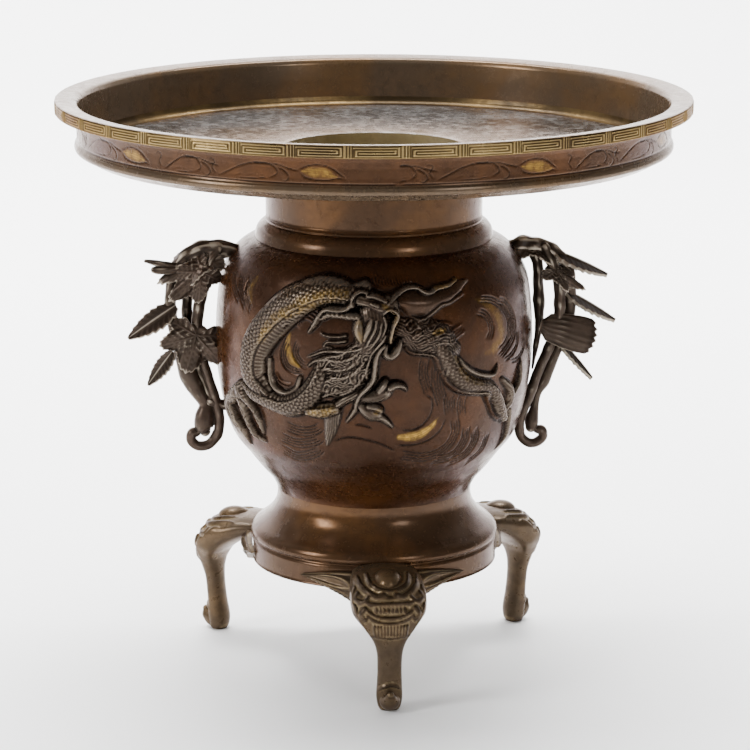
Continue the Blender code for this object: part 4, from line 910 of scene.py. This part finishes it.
def with_round_ends(path, radii):
    """The path and its radii with three more stations at each end, so that its ends are domed."""
    path, radii = [np.array(point, dtype=float) for point in path], list(radii)
    for end, inner in ((0, 1), (-1, -2)):
        ahead = (path[end] - path[inner]) / np.linalg.norm(path[end] - path[inner])
        domed = [(path[end] + ahead * radii[end] * math.sin(a), radii[end] * math.cos(a))
                 for a in (0.5, 1.0, 1.4)]
        points, sizes = zip(*domed)
        if end == 0:
            path, radii = list(points[::-1]) + path, list(sizes[::-1]) + radii
        else:
            path, radii = path + list(points), radii + list(sizes)
    return path, radii


def tube(bm, path, radii, sides, bark=None):
    """A closed round tube along points; bark gives its extra radius at a run along it and an angle."""
    path, radii = with_round_ends(path, radii)
    rings = []
    run = 0.0
    side = Vector((0.3, -1.0, 0.2))
    for k, point in enumerate(path):
        ahead = Vector(path[min(k + 1, len(path) - 1)] - path[max(k - 1, 0)]).normalized()
        side = (side - ahead * side.dot(ahead)).normalized()
        other = ahead.cross(side)
        run += float(np.linalg.norm(path[k] - path[k - 1])) if k else 0.0
        ring = []
        for j in range(sides):
            turn = 2 * math.pi * j / sides
            radius = radii[k] + (bark(run, turn) * min(1.0, radii[k]) if bark else 0.0)
            place = Vector(point) + (side * math.cos(turn) + other * math.sin(turn)) * radius
            ring.append(bm.verts.new(place * MM))
        rings.append(ring)
    for near, far in zip(rings, rings[1:]):
        for j in range(sides):
            after = (j + 1) % sides
            bm.faces.new((near[j], near[after], far[after], far[j]))
    bm.faces.new(rings[0][::-1])
    bm.faces.new(rings[-1])


def vine(rough):
    """Bark with long wavering ridges and faint knots; it smooths away from the shoulder."""
    def bark(run, turn):
        part = 0.2 + 1.3 * rough * math.exp(-(((run - 20.0) / 20.0) ** 2))
        ridges = 0.34 * math.sin(5 * turn + 0.7 * math.sin(run / 3.3))
        ridges += 0.2 * math.sin(9 * turn + run / 2.1)
        return part * (ridges + 0.2 * math.sin(run / 1.3 + 2 * math.sin(turn))) \
            + 0.22 * math.exp(-((run % 23.0 - 11.5) / 2.2) ** 2)
    return bark


def lobe_turns(turn):
    """How far a direction in degrees is turned from the middle of each lobe."""
    return [(turn - direction + 180) % 360 - 180 for direction, *_ in LOBES]


def leaf_reach(turn):
    """How far the leaf's edge is from where its veins meet, by direction, as a share of its length."""
    reach = 0.5 if abs((turn + 180) % 360 - 180) < 140 else 0.3
    for off, (_, length, spread) in zip(lobe_turns(turn), LOBES):
        reach = max(reach, length * (0.62 + 0.38 * math.exp(-((off / spread) ** 2))) * (abs(off) < 34))
    teeth = abs(((turn / 7.5) % 1.0) - 0.5) * 2
    return reach * (1 + 0.07 * teeth)


def leaf_frame(base, tip, facing):
    """A leaf's length, and its directions ahead, across and out of its face."""
    ahead = (tip - base).normalized()
    face = (facing - ahead * facing.dot(ahead)).normalized()
    return (tip - base).length, ahead, face.cross(ahead), face


def leaf(bm, base, tip, facing, width, thickness):
    """A thick five-lobed vine leaf with branching veins, drooping to its tip."""
    length, ahead, across, face = leaf_frame(base, tip, facing)
    middle = base + ahead * VEIN_JUNCTION * length
    spokes, rings = 176, 14
    half = thickness / 2
    layers = []
    for surface in (1, -1):
        layer = []
        for k in range(spokes):
            turn = 360.0 * k / spokes
            reach = leaf_reach(turn)
            off = min((off for off in lobe_turns(turn) if abs(off) <= LOBE_REACH), default=LOBE_REACH)
            spoke = []
            for j in range(1, rings + 1):
                share = j / rings
                run = reach * share
                x = run * math.cos(math.radians(turn)) * 0.74
                y = run * math.sin(math.radians(turn)) * 0.62
                aside = run * math.sin(math.radians(off))
                main = math.exp(-((aside / 0.022) ** 2))
                side = 0.5 + 0.5 * math.cos(2 * math.pi * (run * 7.5 - abs(aside) * 6.0))
                lift = -0.3 * (x**2 + 1.3 * y**2) * length
                lift += 0.05 * length * math.cos(math.radians(5 * turn)) * share**2
                lift += surface * half * (1 - 0.5 * share**6)
                ribs = 0.5 * side * (1 - main) * min(1, 3 * share)
                lift += (0.55 * main + ribs - 0.5 * (abs(aside) > 0.2)) * half
                place = middle + ahead * x * length + across * y * width * 1.2 + face * lift
                spoke.append(bm.verts.new(place * MM))
            layer.append(spoke)
        centre = bm.verts.new((middle + face * surface * half) * MM)
        for k in range(spokes):
            this, after = layer[k], layer[(k + 1) % spokes]
            quads = [(this[j], this[j + 1], after[j + 1], after[j]) for j in range(rings - 1)]
            for corners in quads + [(centre, this[0], after[0])]:
                bm.faces.new(corners if surface > 0 else corners[::-1])
        layers.append(layer)
    join_rims(bm, [spoke[-1] for spoke in layers[0]], [spoke[-1] for spoke in layers[1]])


def join_rims(bm, top, bottom):
    """Close a thin sheet between the rims of its two faces."""
    for k in range(len(top)):
        after = (k + 1) % len(top)
        bm.faces.new((top[k], bottom[k], bottom[after], top[after]))


def two_sided(bm, columns, rows, place_at):
    """A thin closed sheet from the place at (surface 1 or -1, along 0 to 1, share -1 to 1)."""
    rims = []
    for surface in (1, -1):
        grid = []
        for i in range(columns):
            along = i / (columns - 1)
            shares = [2 * j / (rows - 1) - 1 for j in range(rows)]
            grid.append([bm.verts.new(place_at(surface, along, share) * MM) for share in shares])
        for near, far in zip(grid, grid[1:]):
            for j in range(rows - 1):
                corners = (near[j], far[j], far[j + 1], near[j + 1])
                bm.faces.new(corners if surface > 0 else corners[::-1])
        first, last = [row[0] for row in grid], [row[-1] for row in grid[-2::-1]]
        rims.append(first + grid[-1][1:] + last + grid[0][-2:0:-1])
    join_rims(bm, *rims)


def blade(bm, base, tip, facing, width, thickness):
    """A folded leaf: a single pointed blade, bent along its midrib, with a toothed edge."""
    length, ahead, across, face = leaf_frame(base, tip, facing)

    def place_at(surface, along, share):
        full = math.sin(math.pi * min(1.0, along * 0.93 + 0.05) ** 0.8) ** 0.8
        teeth = 0.2 * ((along * 7.0) % 1.0) if abs(share) > 0.8 else 0.0
        half_width = 0.5 * width * full * (1 + teeth)
        veins = 0.5 + 0.5 * math.cos(2 * math.pi * (along * 9 - abs(share) * 1.4))
        lift = -0.32 * abs(share) * half_width - 0.1 * length * along**2 + surface * thickness / 2
        lift += thickness * (0.24 * veins * abs(share) + 0.4 * math.exp(-((share / 0.1) ** 2)))
        return base + ahead * along * length + across * share * half_width + face * lift

    two_sided(bm, 44, 13, place_at)


def fan(bm, base, tip, facing, width, thickness):
    """A broad flat leaf: narrow at its base, blunt and toothed at its far edge, with veins that spread."""
    length, ahead, across, face = leaf_frame(base, tip, facing)

    def place_at(surface, along, share):
        broad = 0.62 + 0.38 * math.sin(math.pi * along * 0.62)
        half_width = 0.5 * width * broad * min(1.0, 0.45 + 3.6 * along)
        teeth = 0.09 * abs(((share * 3.0) % 1.0) - 0.5) * along**6
        reach = along * (1 - 0.1 * share**2 - teeth)
        veins = math.cos(2 * math.pi * (share * 3.1 + 0.5 * along))
        veins *= 0.35 + math.exp(-((along - 0.38) / 0.12) ** 2)
        lift = 0.12 * veins * thickness - 0.2 * half_width * share**2 + surface * thickness / 2
        return base + ahead * reach * length + across * share * half_width + face * lift

    two_sided(bm, 40, 45, place_at)


def on_handle(side, off, front, up):
    """A place on a handle: out past the belly, towards the front, and up from the belly's base."""
    return np.array((side * (BELLY_RADIUS + off), -front, BELLY_BASE + up))


def build_handle(name, side, stems, leaves, blades, fans, settings):
    """A handle: its stems with their bark, and the leaves of each kind."""
    bm = bmesh.new()
    for k, stations in enumerate(stems):
        path = curve(stations, 9)
        points = [on_handle(side, *row[:3]) for row in path]
        tube(bm, points, path[:, 3] * STEM_RADIUS, 20, vine(0.9 if k == 0 else 0.25))
    thickness = settings.leaf_thickness / MM
    for shape, rows in ((leaf, leaves), (blade, blades), (fan, fans)):
        for base, tip, facing, width in rows:
            toward = Vector((side * facing[0], -facing[1], facing[2]))
            ends = [Vector(on_handle(side, *end)) for end in (base, tip)]
            shape(bm, *ends, toward, width, thickness)
    bmesh.ops.recalc_face_normals(bm, faces=bm.faces)
    mesh = bpy.data.meshes.new(name)
    bm.to_mesh(mesh)
    bm.free()
    mesh.shade_smooth()
    shade_hollows_wear_and_highlight_edges(mesh, 0.16)
    obj = bpy.data.objects.new(name, mesh)
    bpy.context.scene.collection.objects.link(obj)
    return obj


def draw_mask(sheet):
    """The beast's face over the mask, seen from the front: brows, eyes, lips, teeth and fluted ruff."""
    paths = list(MASK_WHOLE)
    for points in MASK_HALF:
        paths += [points, [(-x, y, half, top) for x, y, half, top in points]]
    for points in paths:
        sheet.form(points)
    for x in (np.arange(TEETH) - (TEETH - 1) / 2) * 2.0:
        sheet.form(((x, 20.6, 0.9, 1.6), (x, 18.8, 0.9, 1.8)))
    for x in (np.arange(FLUTES) - (FLUTES - 1) / 2) * 1.62:
        sheet.form(((x, 12.0, 0.8, 1.5), (0.94 * x, 7.8, 0.75, 1.3)))
    for side in (-1, 1):
        for k in range(5):
            sheet.line(((side * (13.6 + 1.1 * k), 33.4), (side * (14.2 + 1.1 * k), 29.6)), 0.45, -0.5)
        for k in range(4):
            ends = (side * (11.0 + k), 12.4 - 1.2 * k), (side * (13.6 + k), 15.0 - 1.2 * k)
            sheet.line(ends, 0.45, -0.4)
    sheet.height = 0.5 * sheet.height + 0.5 * blur(sheet.height, 1)


def build_leg_mesh(settings):
    """The front leg: its core with the mask's relief, the nose, the spur and two wings."""
    step = settings.leg_step / MM
    path = curve(LEG_CORE, 24)
    run = np.concatenate([[0.0], np.cumsum(np.hypot(*np.diff(path[:, :2], axis=0).T))])
    places = np.arange(0.0, run[-1], step)
    out, up, wide, deep = (np.interp(places, run, path[:, k]) for k in range(4))
    ahead = np.stack([np.gradient(out), np.gradient(up)], axis=1)
    ahead /= np.linalg.norm(ahead, axis=1)[:, None]
    for _ in range(12):
        ahead[1:-1] = (ahead[:-2] + ahead[1:-1] + ahead[2:]) / 3
    face_out, face_up = -ahead[:, 1], ahead[:, 0]
    turn = np.linspace(0, 2 * np.pi, settings.leg_columns, endpoint=False)[:, None]
    x = wide * np.cos(turn)
    away = deep * np.sign(np.sin(turn)) * np.abs(np.sin(turn)) ** 0.85
    y, z = out + face_out * away, up + face_up * away
    sheet = Sheet(np.arange(-22.0, 22.01, 0.45), np.arange(-30.0, 46.0, 0.45))
    draw_mask(sheet)
    view = math.radians(LEG_VIEW)
    level = z * math.cos(view) - y * math.sin(view)
    i = np.clip((x + 22.0) / 0.45, 0, len(sheet.along) - 1.001)
    j = np.clip((level + 30.0) / 0.45, 0, len(sheet.up) - 1.001)
    i0, j0 = i.astype(int), j.astype(int)
    fi, fj = i - i0, j - j0
    raised = ((1 - fi) * (1 - fj) * sheet.height[i0, j0] + fi * (1 - fj) * sheet.height[i0 + 1, j0]
              + (1 - fi) * fj * sheet.height[i0, j0 + 1] + fi * fj * sheet.height[i0 + 1, j0 + 1])
    raised = raised * np.clip(4 * np.sin(turn), 0, 1)
    y, z = y + face_out * raised, z + face_up * raised
    points = np.stack([x, -y, np.maximum(z, 0.0)], axis=-1)
    made = [points.reshape(-1, 3)]
    quads = [grid_quads(*points.shape[:2])[:, ::-1]]
    count = points.shape[0] * points.shape[1]
    cap = np.arange(settings.leg_columns) * points.shape[1] + points.shape[1] - 1
    middle = len(cap) // 2
    quads.append(np.array([(cap[k], cap[k + 1], cap[-2 - k], cap[-1 - k]) for k in range(middle - 1)]))

    a, b = np.meshgrid(np.linspace(0, 2 * np.pi, 48, endpoint=False), np.linspace(-1.55, 1.55, 26),
                       indexing="ij")
    (cx, cy, cz), (rx, ry, rz) = LEG_NOSE
    nose = np.stack([cx + rx * np.cos(b) * np.cos(a), -cy - ry * np.cos(b) * np.sin(a),
                     cz + rz * np.sin(b)], axis=-1)
    across, out, up = NOSTRIL
    for side in (-1, 1):
        away = (nose - (side * across, -out, up)) / NOSTRIL_REACH
        nose[..., 1] += NOSTRIL_DEPTH * np.exp(-(away**2).sum(axis=-1))
    made.append(nose.reshape(-1, 3))
    quads.append(grid_quads(*a.shape)[:, ::-1] + count)
    count += a.size

    for side in (-1, 1):
        wing = curve(WING, 8)
        v = np.concatenate([[0.0], np.linspace(0.0, 1.0, 30), [1.0]])
        turned, w = np.meshgrid(np.radians(wing[:, 0]), v, indexing="ij")
        low, high, off = (np.broadcast_to(wing[:, k][:, None], turned.shape) for k in (1, 2, 3))
        degrees = np.degrees(turned)
        ring = np.hypot((degrees - 26.0) / 11.0, (w - 0.62) / 0.26)
        relief = 0.9 * np.exp(-(((ring - 1.0) / 0.2) ** 2)) - 0.9 * np.clip(1 - ring, 0, 1) ** 0.5
        relief += (0.7 * np.exp(-(((w - 0.2) / 0.06) ** 2))
                   + 0.3 * np.cos(2 * np.pi * degrees / 2.2) * (w < 0.16))
        swell = 0.45 + 0.55 * np.sin(np.pi * np.clip(w, 0.04, 0.96)) ** 0.6
        stand = WING_RADIUS + off * swell + relief * np.clip(off / 3, 0, 1)
        stand[:, 0] = stand[:, -1] = WING_EDGE_RADIUS
        height = low + (high - low) * w
        piece = np.stack([side * stand * np.sin(turned), -stand * np.cos(turned), height], axis=-1)
        made.append(piece.reshape(-1, 3))
        corners = grid_quads(*w.shape, wrap=False) + count
        quads.append(corners if side > 0 else corners[:, ::-1])
        count += w.size
    body = make_mesh("leg_forms", np.vstack(made), np.vstack(quads)).data
    bpy.data.objects.remove(bpy.data.objects["leg_forms"])

    bm = bmesh.new()
    bm.from_mesh(body)
    spur = curve([(0.0, -y, z, r) for y, z, r in LEG_SPUR], 8)
    tube(bm, spur[:, :3], spur[:, 3], 20)
    bm.to_mesh(body)
    bm.free()
    body.shade_smooth()
    shade_hollows_wear_and_highlight_edges(body, 0.12)
    return body


# Operators

class VaseSettings(bpy.types.PropertyGroup):
    """Sizes and colours of the vase's detail."""

    relief_step: bpy.props.FloatProperty(
        name="Relief step", description="Spacing of the belly's fine grid", default=0.00046, min=0.0002,
        subtype="DISTANCE", unit="LENGTH")
    relief_scale: bpy.props.FloatProperty(
        name="Relief height", description="How far the dragon stands out, as a share of its drawn height",
        default=1.0, min=0.1, max=1.2, subtype="FACTOR")
    scale_length: bpy.props.FloatProperty(
        name="Scale length", description="Length of the dragon's scales", default=0.0034,
        subtype="DISTANCE", unit="LENGTH")
    scale_width: bpy.props.FloatProperty(
        name="Scale width", description="Width of the dragon's scales", default=0.0023, subtype="DISTANCE",
        unit="LENGTH")
    wall_repeats: bpy.props.IntProperty(
        name="Scroll repeats", description="Gilt ovals round the dish's wall", default=9, min=3)
    wall_columns: bpy.props.IntProperty(
        name="Wall columns", description="Columns of the engraved wall's grid", default=1960, min=200)
    fret_columns: bpy.props.IntProperty(
        name="Fret columns", description="Columns of the key fret's grid", default=2880, min=200)
    fret_repeats: bpy.props.IntProperty(
        name="Fret repeats", description="Repeats of the key fret round the rim", default=38, min=8)
    fret_rib: bpy.props.FloatProperty(
        name="Fret groove", description="Width of a groove of the key fret", default=0.00056,
        subtype="DISTANCE", unit="LENGTH")
    leaf_thickness: bpy.props.FloatProperty(
        name="Leaf thickness", description="Thickness of a vine leaf", default=0.0015, subtype="DISTANCE",
        unit="LENGTH")
    leg_step: bpy.props.FloatProperty(
        name="Leg step", description="Spacing of the rows along a leg", default=0.0005, min=0.0003,
        subtype="DISTANCE", unit="LENGTH")
    leg_columns: bpy.props.IntProperty(
        name="Leg columns", description="Columns round a leg", default=176, min=24)
    figure_colour: bpy.props.FloatVectorProperty(
        name="Relief colour", description="Colour of the dragon", default=srgb("#302821")[:3],
        subtype="COLOR", size=3, min=0.0, max=1.0)
    gilt_colour: bpy.props.FloatVectorProperty(
        name="Gilding", description="Colour of the gilding", default=srgb("#bc9543")[:3], subtype="COLOR",
        size=3, min=0.0, max=1.0)
    floor_colour: bpy.props.FloatVectorProperty(
        name="Studio floor", description="Colour of the studio's floor", default=srgb("#fafafa")[:3],
        subtype="COLOR", size=3, min=0.0, max=1.0)


class VASE_OT_body(bpy.types.Operator):
    """Build the belly with its dragon, the foot and the neck"""

    bl_idname = "vase.body"
    bl_label = "Body"

    def execute(self, context):
        settings = context.scene.vase_settings
        # Deep red-brown and smooth, paler on proud edges, partly where hands rub it and partly as a painted
        # highlight, and darkened in its hollows as painted shade: the dragon stands out by its light edges
        skin = bronze("brown bronze", "#321f13", "#442812", "#23150d", 0.2, bright="#877b6d", grain=0.1,
                      rubbed=0.42)
        # The same metal paler and with fine rings, so that foot and neck look turned on a lathe
        turned = bronze("turned brown bronze", "#443122", "#573c24", "#2f2217", 0.16, turning=0.35,
                        grain=0.12)
        for piece in build_belly(settings):
            finish_piece(piece, "vase_body", "bronze", skin)
        finish_piece(build_foot_and_neck(), "vase_body", "bronze", turned)
        return {"FINISHED"}


class VASE_OT_dish(bpy.types.Operator):
    """Build the dish with its engraved wall and key fret"""

    bl_idname = "vase.dish"
    bl_label = "Dish"

    def execute(self, context):
        settings = context.scene.vase_settings
        # A greener, evenly handled patina with faint turned rings
        shell_skin = bronze("olive bronze", "#544638", "#604a33", "#3a2f24", 0.17, turning=0.3, grain=0.12)
        # Grey, blotched metal that mirrors the room: water has taken the patina off
        floor_skin = bronze("bright worn dish floor", "#858280", "#5b554f", "#989795", 0.18, grain=0.35,
                            metallic=0.9)
        # A pale, dull ring that marks the hole's edge: painted light, standing in for the light that falls
        # on the hole's inner wall and reflects from it
        lit_hole_skin = bronze("olive bronze painted lit", "#b3a27e", "#98875f", "#74654a", 0.3, grain=0.2,
                           metallic=0.6)
        # Yellow metal, darker in the bend between floor and wall
        fillet_skin = bronze("brassy worn fillet", "#3f3322", "#6b5738", "#261d13", 0.3, grain=0.5,
                             metallic=0.7)
        # Warm and nearly smooth, so that the engraving and the gilt ovals carry the light; the engraved
        # lines are darkened as painted shade
        wall_skin = bronze("engraved brown bronze", "#402a1a", "#50331d", "#2c1d13", 0.17, grain=0.06,
                           rubbed=0.1)
        # Bright yellow ribs over dark grooves, the grooves darkened as painted shade and the rib edges
        # paler, partly as wear and partly as a painted highlight: the key fret can be read from afar
        fret_skin = bronze("worn brass fret", "#816a40", "#5a462c", "#483826", 0.26, bright="#c8b07c",
                           grain=0.2, metallic=0.85, shade_in_hollows=0.7)
        wall, fret, shell = build_dish(settings)
        finish_piece(wall, "dish", "bronze", wall_skin)
        finish_piece(shell, "dish", "bronze", shell_skin, floor_skin, lit_hole_skin, fillet_skin)
        finish_piece(fret, "dish", "bronze", fret_skin)
        return {"FINISHED"}


class VASE_OT_handles(bpy.types.Operator):
    """Build the two vine handles"""

    bl_idname = "vase.handles"
    bl_label = "Handles"

    def execute(self, context):
        settings = context.scene.vase_settings
        # Near black and coarse, with pale ridges, partly rubbed metal and partly a painted highlight, and
        # painted shade
        # in the hollows: bark and leaf veins show as thin light lines
        skin = bronze("dark vine bronze", "#3a3129", "#453830", "#26201b", 0.3, bright="#a39787", grain=0.4,
                      rubbed=0.8, shade_in_hollows=0.7)
        for name, side, stems, leaves, blades, fans in (
            ("handle_left", -1, LEFT_STEMS, LEFT_LEAVES, LEFT_BLADES, ()),
            ("handle_right", 1, RIGHT_STEMS, RIGHT_LEAVES, RIGHT_BLADES, RIGHT_FANS),
        ):
            made = build_handle(f"{name}_vine", side, stems, leaves, blades, fans, settings)
            finish_piece(made, name, "dark_bronze", skin)
        return {"FINISHED"}


class VASE_OT_legs(bpy.types.Operator):
    """Build the three beast-mask legs"""

    bl_idname = "vase.legs"
    bl_label = "Legs"

    def execute(self, context):
        # Grey-brown and half dull, paler on brows, cheeks and noses, partly as metal worn to brass and
        # partly as a painted highlight, with painted shade in the hollows
        skin = bronze("dark leg bronze", "#4c3f31", "#5a4833", "#32291f", 0.25, bright="#8a795a",
                      grain=0.25, shade_in_hollows=0.6)
        shape = build_leg_mesh(context.scene.vase_settings)
        for turn, name in enumerate(("leg_front", "leg_back_right", "leg_back_left")):
            mesh = shape.copy()
            mesh.transform(Matrix.Rotation(turn * 2 * math.pi / 3, 4, "Z"))
            made = bpy.data.objects.new(f"{name}_mask", mesh)
            context.scene.collection.objects.link(made)
            finish_piece(made, name, "dark_bronze", skin)
        return {"FINISHED"}


class VASE_OT_stage(bpy.types.Operator):
    """Set up the studio: floor, backdrop, lights and camera"""

    bl_idname = "vase.stage"
    bl_label = "Studio"

    def execute(self, context):
        settings = context.scene.vase_settings
        profile = [(FLOOR_FRONT, 0.0), (FLOOR_BACK, 0.0)]
        profile += [(FLOOR_BACK + FLOOR_BEND * math.sin(a), FLOOR_BEND - FLOOR_BEND * math.cos(a))
                    for a in np.linspace(0.1, math.pi / 2, 14)]
        profile.append((FLOOR_BACK + FLOOR_BEND, BACKDROP_TOP))
        bm = bmesh.new()
        rows = [[bm.verts.new((side * FLOOR_HALF_WIDTH, y, z)) for side in (-1, 1)] for y, z in profile]
        for near, far in zip(rows, rows[1:]):
            bm.faces.new((near[0], near[1], far[1], far[0]))
        mesh = bpy.data.meshes.new("studio_floor")
        bm.to_mesh(mesh)
        bm.free()
        mesh.shade_smooth()
        floor = bpy.data.objects.new("studio_floor", mesh)
        context.scene.collection.objects.link(floor)
        # Matt white paper: the vase's shadow and a faint mirror image lie on it without a hard edge
        paper = bpy.data.materials.new("studio paper")
        paper.use_nodes = True
        shader = paper.node_tree.nodes["Principled BSDF"]
        shader.inputs["Base Color"].default_value = (*settings.floor_colour, 1.0)
        shader.inputs["Roughness"].default_value = 0.55
        mesh.materials.append(paper)

        world = bpy.data.worlds.new("studio")
        context.scene.world = world
        world.use_nodes = True
        tree = world.node_tree
        # The room is bright behind the vase and dim before it: the metal's sides shine, its front stays dark
        direction = add(tree, "ShaderNodeTexCoord").outputs["Generated"]
        behind = add(tree, "ShaderNodeSeparateXYZ", {0: direction}).outputs["Y"]
        glow = steps_of(tree, behind, -0.02, 0.8, 0.14, 1.6)
        tree.links.new(glow, tree.nodes["Background"].inputs["Strength"])
        tree.nodes["Background"].inputs["Color"].default_value = (1.0, 1.0, 1.0, 1.0)
        for name, place, size, power, aim in SOFTBOXES:
            data = bpy.data.lights.new(name, "AREA")
            data.shape = "RECTANGLE"
            data.size, data.size_y = size
            data.energy = power
            lamp = bpy.data.objects.new(name, data)
            lamp.location = place
            lamp.rotation_euler = (Vector(aim) - Vector(place)).to_track_quat("-Z", "Y").to_euler()
            context.scene.collection.objects.link(lamp)

        data = bpy.data.cameras.new("camera")
        data.lens = CAMERA_LENS
        data.sensor_width = CAMERA_SENSOR
        data.clip_start = 0.05
        camera = bpy.data.objects.new("camera", data)
        camera.location = CAMERA_PLACE
        yaw = math.atan2(-CAMERA_PLACE[0], -CAMERA_PLACE[1])
        camera.rotation_euler = (math.radians(90 - CAMERA_PITCH), 0.0, -yaw - math.radians(CAMERA_TURN))
        context.scene.collection.objects.link(camera)
        context.scene.camera = camera
        return {"FINISHED"}


class VASE_PT_panel(bpy.types.Panel):
    """Sizes, colours and the build steps"""

    bl_idname = "VASE_PT_panel"
    bl_label = "Bronze Vase"
    bl_space_type = "VIEW_3D"
    bl_region_type = "UI"
    bl_category = "Vase"

    def draw(self, context):
        settings = context.scene.vase_settings
        for name in VaseSettings.__annotations__:
            self.layout.prop(settings, name)
        for operator in OPERATORS:
            self.layout.operator(operator.bl_idname)


OPERATORS = (VASE_OT_body, VASE_OT_dish, VASE_OT_handles, VASE_OT_legs, VASE_OT_stage)
CLASSES = (VaseSettings, *OPERATORS, VASE_PT_panel)


def register():
    for made in CLASSES:
        bpy.utils.register_class(made)
    bpy.types.Scene.vase_settings = bpy.props.PointerProperty(type=VaseSettings)


def unregister():
    del bpy.types.Scene.vase_settings
    for made in reversed(CLASSES):
        bpy.utils.unregister_class(made)


def main():
    register()
    bpy.ops.vase.body()
    bpy.ops.vase.dish()
    bpy.ops.vase.handles()
    bpy.ops.vase.legs()
    bpy.ops.vase.stage()
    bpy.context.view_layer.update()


if __name__ == "__main__":
    main()
